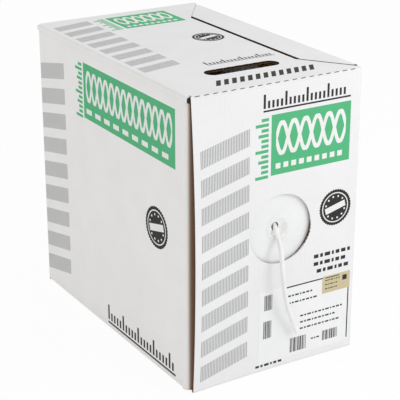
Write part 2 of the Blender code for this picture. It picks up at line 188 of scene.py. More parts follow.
def objectPlace(tree):
    return addNode(tree, "ShaderNodeTexCoord").outputs["Object"]


def newGroup(name, inputs, outputs):
    tree = bpy.data.node_groups.new(name, "ShaderNodeTree")
    for way, sockets in (("INPUT", inputs), ("OUTPUT", outputs)):
        for word, kind in sockets.items():
            tree.interface.new_socket(word, in_out=way, socket_type="NodeSocket" + kind)
    return tree, addNode(tree, "NodeGroupInput").outputs, addNode(tree, "NodeGroupOutput").inputs


def useGroup(tree, group, values):
    return addNode(tree, "ShaderNodeGroup", values, node_tree=group).outputs


def newMaterial(name):
    material = bpy.data.materials.new(name)
    material.use_nodes = True
    return material, material.node_tree, material.node_tree.nodes["Principled BSDF"].inputs


def dress(tree, shader, colour, grain, rough, height, bump, depth):  # grain sets the roughness
    tree.links.new(colour, shader["Base Color"])
    tree.links.new(spread(tree, grain, *noiseRange, *rough), shader["Roughness"])
    values = {"Height": height, "Strength": bump, "Distance": depth}
    tree.links.new(addNode(tree, "ShaderNodeBump", values).outputs[0], shader["Normal"])


# Effects that several materials share

def makePaperFibre():
    tree, given, out = newGroup(
        "paperFibre",
        {"Light": "Color", "Dark": "Color", "Fibre Scale": "Float", "Cloud Scale": "Float"},
        {"Colour": "Color", "Fibre": "Float"},
    )
    where = objectPlace(tree)
    fibre = noise(tree, where, given["Fibre Scale"], detail=6.0, roughness=0.68)
    cloud = noise(tree, where, given["Cloud Scale"], detail=3.0, roughness=0.5)
    tone = spread(tree, weigh(tree, fibre, 0.55, cloud, 0.45), 0.32, 0.68)
    tree.links.new(mixColour(tree, tone, given["Dark"], given["Light"]), out["Colour"])
    tree.links.new(fibre, out["Fibre"])
    return tree


def makeWashboard():  # the faint ridges where a liner sinks between its flutes
    tree, given, out = newGroup("washboard", {"Across": "Vector", "Pitch": "Float"}, {"Ridge": "Float"})
    along = vectorCalc(tree, "DOT_PRODUCT", objectPlace(tree), given["Across"], "Value")
    turns = calc(tree, "DIVIDE", along, given["Pitch"])
    wave = calc(tree, "SINE", calc(tree, "MULTIPLY", turns, 2 * math.pi))
    tree.links.new(spread(tree, wave, -1.0, 1.0), out["Ridge"])
    return tree


def makeEdgeWear():  # a mask that is strongest along the carton's outer edges
    inputs = {"Half Size": "Vector", "Reach": "Float", "Grain": "Float"}
    tree, given, out = newGroup("edgeWear", inputs, {"Mask": "Float"})
    where = objectPlace(tree)
    centred = vectorCalc(tree, "SUBTRACT", where, (0, 0, carton["top"] / 2))
    room = vectorCalc(tree, "SUBTRACT", given["Half Size"], vectorCalc(tree, "ABSOLUTE", centred))
    x, y, z = addNode(tree, "ShaderNodeSeparateXYZ", {0: room}).outputs
    larger = calc(tree, "MINIMUM", calc(tree, "MAXIMUM", x, y), z)
    toEdge = calc(tree, "MAXIMUM", calc(tree, "MINIMUM", x, y), larger)  # the middle one of the three
    near = calc(tree, "SUBTRACT", 1.0, calc(tree, "DIVIDE", toEdge, given["Reach"]), clamp=True)
    grain = noise(tree, where, given["Grain"], detail=5.0, roughness=0.7)
    worn = calc(tree, "SUBTRACT", calc(tree, "ADD", near, grain), 0.95)
    tree.links.new(spread(tree, worn, 0.0, 0.5), out["Mask"])
    return tree


def makeScuffs():  # thin rubbed streaks and small dirt marks
    tree, given, out = newGroup("scuffs", {"Scale": "Float", "Amount": "Float"}, {"Mask": "Float"})
    where = objectPlace(tree)
    streak = noise(tree, where, given["Scale"], detail=3.0, roughness=0.6, stretch=(1.0, 1.0, 7.0))
    patch = noise(tree, where, 9.0, detail=2.0, roughness=0.5)
    both = calc(tree, "MULTIPLY", spread(tree, streak, 0.60, 0.78), spread(tree, patch, 0.48, 0.66))
    tree.links.new(calc(tree, "MULTIPLY", both, given["Amount"], clamp=True), out["Mask"])
    return tree


paperFibre = makePaperFibre()
washboard = makeWashboard()
edgeWear = makeEdgeWear()
scuffs = makeScuffs()


# Materials

boardFinish = {
    # one white board as lit and shaded copies: painted darker and cooler on the front, top, back and bottom,
    # where the key lamp falls, painted lighter and warmer on the sides and flaps, and painted a little
    # lighter on the inner flap to lift the shade of its recess
    "recessLitWhite": (240, 241, 241),
    "white": (237, 237, 238),
    "whiteShade": (230, 230, 231),
    "side": (243, 242, 240),
    "sideShade": (236, 235, 233),
    "worn": (206, 198, 186),
    "wornReach": 0.006,
    "wornGrain": 210.0,
    "scuff": (196, 194, 190),
    # painted brown shade on the left fold, darkest next to the front panel's edge
    "foldShadeBrown": (158, 128, 107),
    "foldShadeDepths": (0.0019, 0.0002),  # where the painted fold shade starts and where it is full, behind the inner flap's face
    "kraft": (128, 92, 60),
    "kraftShade": (98, 69, 44),
    "flute": (106, 75, 48),
    "fluteShade": (74, 51, 32),
    # near-black flute tone for the crease ends: painted shade of the open cavities there
    "paintedShadeFlute": (50, 34, 22),
    "paintedShadeFluteShade": (26, 17, 11),
    "tube": (190, 156, 112),
    "tubeShade": (158, 124, 84),
}
plywoodFinish = {"light": (214, 178, 128), "dark": (176, 132, 84), "glue": (150, 108, 66), "ply": 0.003}


def paperOf(tree, light, dark, fibre, cloud):
    values = {"Light": paint(light), "Dark": paint(dark), "Fibre Scale": fibre, "Cloud Scale": cloud}
    return useGroup(tree, paperFibre, values)


def wornEdges(tree):
    halfSize = (carton["right"], carton["back"], carton["top"] / 2)
    values = {"Half Size": halfSize, "Reach": boardFinish["wornReach"], "Grain": boardFinish["wornGrain"]}
    return useGroup(tree, edgeWear, values)["Mask"]


def ridgesOf(tree, across):
    return useGroup(tree, washboard, {"Across": across, "Pitch": carton["flutePitch"]})["Ridge"]


def whiteLinerMaterial(name, across, light, dark, paintsFoldShade=False):
    material, tree, shader = newMaterial(name)
    look = boardFinish
    paper = paperOf(tree, look[light], look[dark], fibre=1400.0, cloud=22.0)
    rub = useGroup(tree, scuffs, {"Scale": 90.0, "Amount": 0.45})
    colour = tint(tree, paper["Colour"], look["worn"], wornEdges(tree), amount=0.22)
    colour = tint(tree, colour, look["scuff"], rub["Mask"], amount=0.5)
    if paintsFoldShade:  # painted brown shade where the fold turns in behind the front panel: the shade of the gap there, with light bounced from the kraft
        depth = addNode(tree, "ShaderNodeSeparateXYZ", {0: objectPlace(tree)}).outputs[1]
        start, end = (carton["innerFace"] + reach for reach in look["foldShadeDepths"])
        colour = mixColour(tree, spread(tree, depth, start, end), colour, paint(look["foldShadeBrown"]))
    height = weigh(tree, ridgesOf(tree, across), 0.4, paper["Fibre"], 0.5)
    dress(tree, shader, colour, paper["Fibre"], (0.62, 0.76), height, bump=0.22, depth=0.0006)
    return material


def kraftMaterial(name, across, tone):
    material, tree, shader = newMaterial(name)
    light, dark = boardFinish[tone], boardFinish[tone + "Shade"]
    paper = paperOf(tree, light, dark, fibre=900.0, cloud=30.0)
    streaks = noise(tree, objectPlace(tree), 700.0, detail=3.0, roughness=0.6, stretch=(1.0, 1.0, 0.12))
    colour = tint(tree, paper["Colour"], dark, streaks, amount=0.3)
    height = weigh(tree, ridgesOf(tree, across), 0.7, paper["Fibre"], 0.6)
    dress(tree, shader, colour, paper["Fibre"], (0.78, 0.92), height, bump=0.25, depth=0.0006)
    return material


def inkMaterial(name, ink, faded, wornShare):
    material, tree, shader = newMaterial(name)
    paper = paperOf(tree, faded, ink, fibre=1100.0, cloud=26.0)
    colour = tint(tree, paper["Colour"], boardFinish["worn"], wornEdges(tree), amount=wornShare)
    dress(tree, shader, colour, paper["Fibre"], (0.62, 0.78), paper["Fibre"], bump=0.12, depth=0.0004)
    shader["Specular IOR Level"].default_value = 0.2
    return material


def plasticMaterial(name, light, dark, rough):
    material, tree, shader = newMaterial(name)
    where = objectPlace(tree)
    mottle = noise(tree, where, 60.0, detail=3.0, roughness=0.5)
    skin = noise(tree, where, 1800.0, detail=3.0, roughness=0.6)
    colour = mixColour(tree, spread(tree, mottle, *noiseRange), paint(dark), paint(light))
    dress(tree, shader, colour, skin, (rough - 0.06, rough + 0.08), skin, bump=0.08, depth=0.0003)
    shader["IOR"].default_value = 1.46
    return material


def plywoodMaterial(look):
    material, tree, shader = newMaterial("plywood")
    where = objectPlace(tree)
    swirl = noise(tree, where, 14.0, detail=3.0, roughness=0.5, stretch=(1.0, 1.0, 6.0))
    grain = noise(tree, where, 160.0, detail=5.0, roughness=0.65, stretch=(1.0, 0.06, 1.0))
    plies = vectorCalc(tree, "DOT_PRODUCT", where, (2 * math.pi / look["ply"], 0, 0), "Value")
    layer = spread(tree, calc(tree, "SINE", plies), -0.4, 0.4)
    tone = spread(tree, weigh(tree, swirl, 0.5, grain, 0.5), *noiseRange)
    colour = mixColour(tree, tone, paint(look["dark"]), paint(look["light"]))
    colour = tint(tree, colour, look["glue"], layer, amount=0.35)
    dress(tree, shader, colour, grain, (0.6, 0.8), grain, bump=0.25, depth=0.0005)
    return material


def metalMaterial(name, dark, light):
    material, tree, shader = newMaterial(name)
    spangle = noise(tree, objectPlace(tree), 420.0, detail=4.0, roughness=0.6)
    colour = mixColour(tree, spread(tree, spangle, *noiseRange), paint(dark), paint(light))
    dress(tree, shader, colour, spangle, (0.24, 0.42), spangle, bump=0.1, depth=0.0002)
    shader["Metallic"].default_value = 1.0
    return material


# the same white board as lit and shaded copies: painted shade on the upright faces, painted light on the
# sides and flaps and on the inner flap
whiteAcrossX = whiteLinerMaterial("whiteLinerUpright", alongX, "white", "whiteShade")
whiteAcrossZ = whiteLinerMaterial("whiteLinerLevel", alongZ, "side", "sideShade")
# the left folds get painted brown shade where they turn in behind the front panel
whiteFoldShaded = whiteLinerMaterial("whiteLinerFold", alongZ, "side", "sideShade", paintsFoldShade=True)
whiteInner = whiteLinerMaterial("whiteLinerRecessLit", alongZ, "recessLitWhite", "whiteShade")
kraftAcrossX = kraftMaterial("kraftLinerUpright", alongX, "kraft")
kraftAcrossY = kraftMaterial("kraftLinerDeep", alongY, "kraft")
kraftAcrossZ = kraftMaterial("kraftLinerLevel", alongZ, "kraft")
kraftFlute = kraftMaterial("kraftFlute", alongX, "flute")
paintedShadeFlute = kraftMaterial("paintedShadeFlute", alongX, "paintedShadeFlute")
greenInk = inkMaterial("greenInk", (82, 178, 123), (90, 184, 131), 0.3)
greyInk = inkMaterial("greyInk", (158, 159, 158), (172, 173, 172), 0.3)
blackInk = inkMaterial("blackInk", (44, 43, 42), (58, 56, 55), 0.3)
# dark grey dashes that stand for the perforation's cuts: painted shade inside the cuts
perforation = inkMaterial("perforation", (84, 82, 80), (112, 110, 107), 0.0)
whiteInk = inkMaterial("whiteUnprinted", (231, 232, 230), (238, 238, 236), 0.4)
labelPaper = inkMaterial("labelPaper", (234, 235, 235), (241, 241, 241), 0.1)
tanPaper = inkMaterial("tanPaper", (199, 186, 149), (208, 196, 160), 0.1)
# painted brighter than white plastic is, as painted light that lifts the shade inside the outlet's cup
litWhitePlastic = plasticMaterial("litWhitePlastic", (255, 255, 254), (253, 253, 252), 0.5)
# painted darker than the cup's plastic: painted shade on the outlet's rim
rimShadedPlastic = plasticMaterial("rimShadedPlastic", (234, 235, 235), (230, 231, 231), 0.5)
wireFinishes = [
    plasticMaterial("blueWire", (58, 96, 170), (44, 78, 148), 0.42),
    plasticMaterial("orangeWire", (222, 128, 48), (200, 108, 36), 0.42),
    plasticMaterial("greenWire", (70, 142, 78), (54, 120, 62), 0.42),
    plasticMaterial("brownWire", (122, 84, 56), (102, 68, 44), 0.42),
    plasticMaterial("paleWire", (240, 238, 232), (228, 226, 220), 0.42),
    metalMaterial("copperWire", (196, 126, 84), (226, 158, 112)),
]
jacketPlastic = plasticMaterial("whiteJacket", (243, 243, 241), (235, 235, 233), 0.46)
plywood = plywoodMaterial(plywoodFinish)
zincSteel = metalMaterial("zincSteel", (176, 178, 180), (214, 214, 210))
paperTube = kraftMaterial("paperTube", alongX, "tube")
uprightBoard = (whiteAcrossX, kraftAcrossX, kraftFlute)
levelBoard = (whiteAcrossZ, kraftAcrossZ, kraftFlute)
print("materials made:", len(bpy.data.materials))


# Mesh tools

def toMesh(shape, name):
    mesh = bpy.data.meshes.new(name)
    shape.to_mesh(mesh)
    shape.free()
    return mesh


def solidMesh(shape, name):
    bmesh.ops.recalc_face_normals(shape, faces=shape.faces)
    return toMesh(shape, name)


def smoothMesh(mesh, degrees=35):
    mesh.shade_smooth()
    mesh.set_sharp_from_angle(angle=math.radians(degrees))
    return mesh


def addPiece(name, mesh, finishes, body, replaced=()):
    piece = bpy.data.objects.new(name, mesh)
    bpy.context.scene.collection.objects.link(piece)
    for finish in finishes:
        mesh.materials.append(finish)
    if replaced:
        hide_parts(*replaced)
    if body:
        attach(piece, body)
    return piece


def addBoard(name, mesh, finishes, node=None, body="carton"):
    return addPiece(name, mesh, finishes, body, [node] if node else ())


def around(centre, radius, angle):
    return (centre[0] + radius * math.cos(angle), centre[1] + radius * math.sin(angle))


def arc(centre, radius, start, end, steps):
    return [around(centre, radius, a) for a in np.radians(np.linspace(start, end, steps + 1))]


def circle(centre, radius, steps=96):
    return arc(centre, radius, 0, 360, steps)[:-1]


def rectangle(lowU, lowV, highU, highV):
    return [(lowU, lowV), (highU, lowV), (highU, highV), (lowU, highV)]


def tiltedBar(centre, long, tall, degrees):
    c, s = math.cos(math.radians(degrees)), math.sin(math.radians(degrees))
    return [(centre[0] + u * c - v * s, centre[1] + u * s + v * c)
            for u, v in rectangle(-long / 2, -tall / 2, long / 2, tall / 2)]


def span(points):
    us, vs = [p[0] for p in points], [p[1] for p in points]
    return (min(us), min(vs)), (max(us), max(vs))


def waveSum(at, waves):  # each wave has a rate, a phase and a size
    return sum(size * np.sin(rate * at + phase) for rate, phase, size in waves)


def extruded(outlines, push):  # flat outlines, each pushed along a vector into a solid
    shape = bmesh.new()
    faces = [shape.faces.new([shape.verts.new(point) for point in outline]) for outline in outlines]
    grown = bmesh.ops.extrude_face_region(shape, geom=faces)["geom"]
    pushed = [v for v in grown if isinstance(v, bmesh.types.BMVert)]
    bmesh.ops.translate(shape, vec=push, verts=pushed)
    bmesh.ops.recalc_face_normals(shape, faces=shape.faces)
    return shape


def prismMesh(outline, bottom, top):
    return toMesh(extruded([[(u, v, bottom) for u, v in outline]], (0, 0, top - bottom)), "prism")


def loft(shape, rows, skin=None):  # walls between rows of points that run round the same ring
    for one, two in zip(rows, rows[1:]):
        for i in range(len(one)):
            face = shape.faces.new((one[i - 1], one[i], two[i], two[i - 1]))
            face.material_index = 1 if skin and not 0 < i < skin else 0


def combine(first, second, operation):
    objects = [bpy.data.objects.new("combine", mesh) for mesh in (first, second)]
    for obj in objects:
        bpy.context.scene.collection.objects.link(obj)
    boolean = objects[0].modifiers.new("combine", "BOOLEAN")
    boolean.operation = operation
    boolean.solver = "EXACT"
    boolean.object = objects[1]
    graph = bpy.context.evaluated_depsgraph_get()
    made = bpy.data.meshes.new_from_object(objects[0].evaluated_get(graph))
    for obj in objects:
        bpy.data.objects.remove(obj)
    return made


def facePlane(across, up, origin):  # across, up and outward of a flat face, as seen from outside
    matrix = Matrix((across, up, across.cross(up))).transposed().to_4x4()
    matrix.translation = origin
    return matrix


planes = {
    "top": facePlane(alongX, alongY, (0, 0, carton["lidUnder"])),
    "front": facePlane(alongX, alongZ, (0, carton["front"] + carton["board"], 0)),
    "left": facePlane(-alongY, alongZ, (carton["left"] + carton["board"], 0, 0)),
    "right": facePlane(alongY, alongZ, (carton["right"] - carton["board"], 0, 0)),
    "back": facePlane(-alongX, alongZ, (0, carton["back"] - carton["board"], 0)),
    "bottom": facePlane(-alongX, alongY, (0, 0, carton["board"])),
}


# Corrugated board: two liners and a waved sheet between them

boardMake = {
    "liner": 0.0004,
    "medium": 0.00035,
    "stepsPerWave": 10,
    "slice": 0.008,  # spacing of the cuts that let a board bend
    "outward": 0.9,  # a face that points out more than this is the outer skin
    "spare": 0.004,  # flutes are cut to an outline from a sheet that is this much larger
    "leastBend": 0.0004,
    "bendSteps": 7,
}


def fluteMesh(lowCorner, highCorner, alongV, bottom, top):
    medium, pitch = boardMake["medium"], carton["flutePitch"]
    across = 0 if alongV else 1
    count = int((highCorner[across] - lowCorner[across]) / pitch * boardMake["stepsPerWave"])
    near, far = lowCorner[1 - across], highCorner[1 - across]
    middle, swing = (bottom + top) / 2, (top - bottom - medium) / 2
    shape = bmesh.new()
    rows = []
    for station in np.linspace(lowCorner[across], highCorner[across], count + 1):
        wave = middle + swing * math.sin(2 * math.pi * station / pitch)
        row = []
        for end, side in ((near, -0.5), (near, 0.5), (far, 0.5), (far, -0.5)):
            point = (station, end) if alongV else (end, station)
            row.append(shape.verts.new((*point, wave + side * medium)))
        rows.append(row)
    loft(shape, rows)
    for row in (rows[0], rows[-1]):
        shape.faces.new(row)
    return solidMesh(shape, "flutes")


def bendShape(shape, bend):  # a flat sheet is cut into slices, then pushed outward
    corners = span([vert.co for vert in shape.verts])
    for axis in (0, 1):
        first = math.ceil(corners[0][axis] / boardMake["slice"])
        last = math.floor(corners[1][axis] / boardMake["slice"])
        for step in range(first, last + 1):
            point, normal = Vector(), Vector()
            point[axis] = step * boardMake["slice"]
            normal[axis] = 1
            everything = [*shape.verts, *shape.edges, *shape.faces]
            bmesh.ops.bisect_plane(shape, geom=everything, plane_co=point, plane_no=normal, dist=tiny)
    for vert in shape.verts:
        vert.co.z += bend(vert.co.x, vert.co.y)


def corrugated(outline, thick, alongV, plane, holes=(), plies=1, bend=None):
    liner = boardMake["liner"]
    gap = (thick - (plies + 1) * liner) / plies
    lowCorner, highCorner = span(outline)
    square = outline == rectangle(*lowCorner, *highCorner)
    if not square:
        lowCorner = [value - boardMake["spare"] for value in lowCorner]
        highCorner = [value + boardMake["spare"] for value in highCorner]
    layers = []
    for ply in range(plies + 1):
        bottom = ply * (gap + liner)
        layers.append((prismMesh(outline, bottom, bottom + liner), ply == plies, False))
    for ply in range(plies):
        bottom = ply * (gap + liner) + liner
        sheet = fluteMesh(lowCorner, highCorner, alongV, bottom, bottom + gap)
        if not square:
            sheet = combine(sheet, prismMesh(outline, -thick, 2 * thick), "INTERSECT")
        layers.append((sheet, False, True))
    shape = bmesh.new()
    for mesh, outer, waved in layers:
        for hole in holes:
            mesh = combine(mesh, prismMesh(hole, -thick, 2 * thick), "DIFFERENCE")
        known = len(shape.faces)
        shape.from_mesh(mesh)
        shape.faces.ensure_lookup_table()
        for face in shape.faces[known:]:
            face.normal_update()
            face.material_index = 2 if waved else 0 if outer and face.normal.z > boardMake["outward"] else 1
    if bend:
        bendShape(shape, bend)
    mesh = smoothMesh(toMesh(shape, "board"))
    mesh.transform(plane)
    return mesh


def foldMesh(corner, alongA, alongB, start, end, radius, legs, thick, cuts=1):
    # a strip folded over an edge: its outer skin runs along A, round the corner, then along B
    def skin(depth, centre, bend):
        turn = np.linspace(0, math.pi / 2, boardMake["bendSteps"] + 1)
        curve = [(centre - bend * math.sin(a), centre - bend * math.cos(a)) for a in turn]
        return [(legs[0], depth), *curve, (depth, legs[1])]

    within = max(radius - thick, boardMake["leastBend"])
    outer = skin(0.0, radius, radius)
    ring = outer + skin(thick, radius if radius > thick else thick + within, within)[::-1]
    along = Vector([abs(c) for c in alongA.cross(alongB)])
    shape = bmesh.new()
    rows = []
    for at in np.linspace(start, end, cuts + 1):
        spot = Vector(corner) + along * at
        rows.append([shape.verts.new(spot + alongA * a + alongB * b) for a, b in ring])
    loft(shape, rows, skin=len(outer))
    for row in (rows[0], rows[-1]):
        for i in range(len(outer) - 1):
            face = shape.faces.new((row[i], row[i + 1], row[-i - 2], row[-i - 1]))
            face.material_index = 1
    return smoothMesh(solidMesh(shape, "fold"), degrees=50)


# Ink and paper laid on a face

printMake = {"sink": 0.0001, "rise": 0.00003}


def printSheet(name, outlines, plane, base, lift, finish, body, bend=None):
    flat = [[(u, v, base - printMake["sink"]) for u, v in outline] for outline in outlines]
    shape = extruded(flat, (0, 0, printMake["sink"] + lift))
    if bend:
        bendShape(shape, bend)
    shape.transform(plane)
    return addPiece(name, toMesh(shape, name), (finish,), body)


# Front panel's bow: its free left edge stands away from the fold behind it

frontBow = {"reach": 0.0098, "straightFrom": 0.020, "span": 0.142, "height": 0.17, "foot": 0.42}


def bowOut(x, z):
    share = max(0.0, (frontBow["straightFrom"] - x) / frontBow["span"])
    middle = frontBow["height"]
    if z > middle:
        rise = 1 - ((z - middle) / (carton["wallTop"] - middle)) ** 2
    else:
        rise = 1 - (1 - frontBow["foot"]) * ((middle - z) / middle) ** 2
    return frontBow["reach"] * share**2 * max(0.0, rise)


# Carton walls

frontCut = {
    "window": 0.092,
    "seat": 0.0292,
    "lip": 0.0003,
    "lipOver": 0.00005,
    "lipStep": 2,  # degrees
    "lipAngles": (-180, -130, -110, -90, -60, -40, -28, -8, 6, 30, 60, 85, 120, 180),
    "lipDepths": (1.0, 0.9, 0.75, 0.6, 0.45, 0.3, 0.06, 0.03, 0.4, 0.6, 0.75, 0.95, 1.0, 1.0),  # board shares
    "lipWaves": ((23, 0.0, 0.06), (57, 0.7, 0.06)),
    "lipWhole": 0.95,  # a deeper lip isn't ragged
    "lipLeast": 0.03,
    "tearAngles": (-62, -40, -26, -16, -8, 4),
    "tearWidths": (0.0, 0.0003, 0.0007, 0.0011, 0.0006, 0.0),
    "tearWaves": ((61, 0.0, 0.45),),
}
sideFold = {
    "frontRadius": 0.009,
    "frontLeg": 0.015,
    "notchDrop": 0.003,
    "notchTop": 0.0045,
    "notchTilt": 0.3,  # faces that look up more than this are the notch's floor
}


def makeFront():
    centre, edge = (outlet.x, outlet.z), carton["panelEdge"]
    makeWindowLip(frontCut, centre)
    outline = rectangle(-edge, 0.0, edge, carton["wallTop"])
    hole = circle(centre, frontCut["window"] / 2)
    mesh = corrugated(outline, boardSkin, True, planes["front"], [hole], bend=bowOut)
    addBoard("frontPanel", mesh, uprightBoard, "front_panel")

    lowCorner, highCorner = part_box("front_inner_flap")
    plane = facePlane(alongX, alongZ, (0, highCorner.y, 0))
    start = max(lowCorner.x, carton["left"] + sideFold["frontLeg"] + seatGap)
    outline = rectangle(start, lowCorner.z, highCorner.x, highCorner.z)
    hole = circle(centre, frontCut["seat"] / 2)
    mesh = corrugated(outline, carton["board"], False, plane, [hole])
    addBoard("frontInnerFlap", mesh, (whiteInner, kraftAcrossZ, kraftFlute), "front_inner_flap")


def makeWindowLip(cut, centre):  # the white liner rolled over part of the window's cut edge
    outer, inner = cut["window"] / 2 + cut["lipOver"], cut["window"] / 2 - cut["lip"]
    shape = bmesh.new()
    rows = []
    for degrees in range(-180, 180, cut["lipStep"]):
        a = math.radians(degrees)
        depth = np.interp(degrees, cut["lipAngles"], cut["lipDepths"])
        if depth < cut["lipWhole"]:
            depth += waveSum(a, cut["lipWaves"])
        depth = boardSkin * min(1.0, max(cut["lipLeast"], depth))
        row = []
        for radius, order in ((outer, 1), (inner, -1)):
            x, z = around(centre, radius, a)
            face = carton["front"] + inkRoom - bowOut(x, z)
            row += [shape.verts.new((x, y, z)) for y in (face, face + depth)[::order]]
        rows.append(row)
    loft(shape, [*rows, rows[0]])
    addBoard("windowLip", smoothMesh(solidMesh(shape, "windowLip")), (whiteAcrossX,))

    near, far = [], []  # a strip of torn liner at the lower right shows the brown below it
    for degrees in range(cut["tearAngles"][0], cut["tearAngles"][-1] + 1):
        a = math.radians(degrees)
        wide = np.interp(degrees, cut["tearAngles"], cut["tearWidths"]) * (1 + waveSum(a, cut["tearWaves"]))
        near.append(around(centre, inner, a))
        far.append(around(centre, outer + wide, a))
    printSheet("windowTear", [near + far[::-1]], planes["front"], boardSkin, printMake["rise"], kraftFlute,
               "carton")


def makeStanding(node, name, outward, upright=False):  # a plain panel or flap that stands across the box
    lowCorner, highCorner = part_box(node)
    start, end = sorted((outward * -lowCorner.x, outward * -highCorner.x))
    inside = highCorner.y if outward < 0 else lowCorner.y
    plane = facePlane(-outward * alongX, alongZ, (0, inside, 0))
    outline = rectangle(start, lowCorner.z, end, highCorner.z)
    mesh = corrugated(outline, highCorner.y - lowCorner.y - inkRoom, upright, plane)
    addBoard(name, mesh, uprightBoard if upright else levelBoard, node)


def openNotch(mesh, front, radius, head):  # the left fold's top slopes down to a small open notch
    for vert in mesh.vertices:
        if vert.co.z > head - tiny:
            share = min(1.0, max(0.0, (front + radius - vert.co.y) / radius))
            vert.co.z = head + sideFold["notchTop"] * (1 - share) - sideFold["notchDrop"] * share
    for face in mesh.polygons:
        if face.normal.z > sideFold["notchTilt"]:
            face.material_index = 2


def makeSide(side):  # a flat wall, and its folds at the front, back and bottom
    word = "left" if side < 0 else "right"
    front = carton["innerFace"] if side < 0 else carton["rightFlapFace"]
    back, radius, foot = carton["backFlapFace"], carton["foldRadius"], carton["creaseLeg"]
    frontRadius = sideFold["frontRadius"] if side < 0 else radius
    frontLeg = sideFold["frontLeg"] if side < 0 else radius + seatGap
    head = carton["top"] - foot
    ends = (front + frontRadius, back - radius)
    start, end = sorted(side * y for y in ends)
    mesh = corrugated(rectangle(start, foot, end, head), boardSkin, False, planes[word])
    addBoard(word + "Panel", mesh, levelBoard, word + "_side_panel")
    skin, inward = carton[word] - side * inkRoom, -side * alongX
    for where, y, along, bend, reach in (("Front", front, alongY, frontRadius, frontLeg),
                                         ("Back", back, -alongY, radius, radius + seatGap)):
        mesh = foldMesh((skin, y, 0), inward, along, inkRoom, head, bend, (reach, bend), boardSkin)
        if where == "Front" and side < 0:
            openNotch(mesh, front, bend, head)
        # the left folds carry painted brown shade where they turn in behind the front panel
        finishes = (whiteFoldShaded if side < 0 else whiteAcrossZ, kraftAcrossZ, kraftFlute)
        addBoard(word + where + "Fold", mesh, finishes)
    corner = (skin, 0, inkRoom)
    mesh = foldMesh(corner, inward, alongZ, *ends, carton["creaseRadius"], (foot, foot), boardSkin)
    addBoard(word + "BottomFold", mesh, (whiteAcrossZ, kraftAcrossZ))


def makeBottom():
    lowCorner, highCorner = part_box("bottom_panel")
    leg = carton["creaseLeg"]
    outline = rectangle(-highCorner.x + leg, lowCorner.y, -lowCorner.x - leg, highCorner.y)
    mesh = corrugated(outline, boardSkin, True, planes["bottom"])
    addBoard("bottomPanel", mesh, uprightBoard, "bottom_panel")


makeFront()
makeStanding("front_right_flap", "frontRightFlap", -1)
makeStanding("back_panel", "backPanel", 1, upright=True)
makeStanding("back_left_flap", "backLeftFlap", 1)
makeStanding("back_right_flap", "backRightFlap", 1)
makeSide(-1)
makeSide(1)
makeBottom()
print("walls built")


# Top panel and flap

lidCut = {
    "seam": 0.0739,
    "kink": 0.129693,
    "backClose": 0.0044,  # the slanted cut at the back is shut, the one in front stands open
    "holeLeft": -0.0465,
    "holeRight": 0.0365,
    "holeMiddle": -0.129,
    "holeRadius": 0.0115,
    "frontTear": (30, 0.0002),  # points along the hole's edge, and the tear's depth
    "backTear": (50, 0.0007),
    "tearWaves": ((41, 0.0, 0.5), (97, 1.1, 0.3), (173, 2.3, 0.2)),
    "tearFade": 12,
    "nose": 0.006,
    "noseRadius": 0.0022,
    "noseOver": 0.0004,
    "noseGap": 0.00002,
    "noseThick": 0.999,  # share of the board's thickness
    "creaseShift": 0.0012,
    "creaseCuts": 24,
    "creaseTurn": 0.7,
    "flapSeam": 0.0797,
    "flapKink": 0.132586,
    "flapCorner": (0.1225, 0.191673),
    "dash": 0.0068,
    "dashPitch": 0.01235,
    "dashFirst": -0.1165,
    "dashCount": 19,
    "dashWide": 0.0011,
    "dashTilt": 2.0,
}
creaseFinishes = (whiteAcrossX, kraftAcrossX, whiteAcrossZ, paintedShadeFlute)


def ragged(start, end, steps, depth):  # a torn straight edge
    points = []
    for t in np.linspace(0, 1, steps + 1):
        fade = min(1.0, lidCut["tearFade"] * t, lidCut["tearFade"] * (1 - t))
        tear = depth * fade * waveSum(t, lidCut["tearWaves"])
        points.append((start[0] + (end[0] - start[0]) * t, start[1] + (end[1] - start[1]) * t + tear))
    return points


def makeCrease(name, word, start, end):  # the bend between a wall and the lid or the flap
    leg, edge, top = carton["creaseLeg"], carton[word], carton["top"]
    inward = 1 if word == "left" else -1
    corner = (edge + inward * inkRoom, 0, top - inkRoom)
    mesh = foldMesh(corner, inward * alongX, -alongZ, start, end, carton["creaseRadius"], (leg, leg),
                    boardSkin, lidCut["creaseCuts"])
    for face in mesh.polygons:  # the outer skin takes the tone of the side it turns to, with that side's painted light, and the ends are painted near-black as the shade of the open cavity there
        if face.material_index == 0 and abs(face.normal.x) > lidCut["creaseTurn"]:
            face.material_index = 2
        if abs(face.normal.y) > lidCut["creaseTurn"]:
            face.material_index = 3
    crease = addBoard(name, mesh, creaseFinishes, body=None)
    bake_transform(crease)


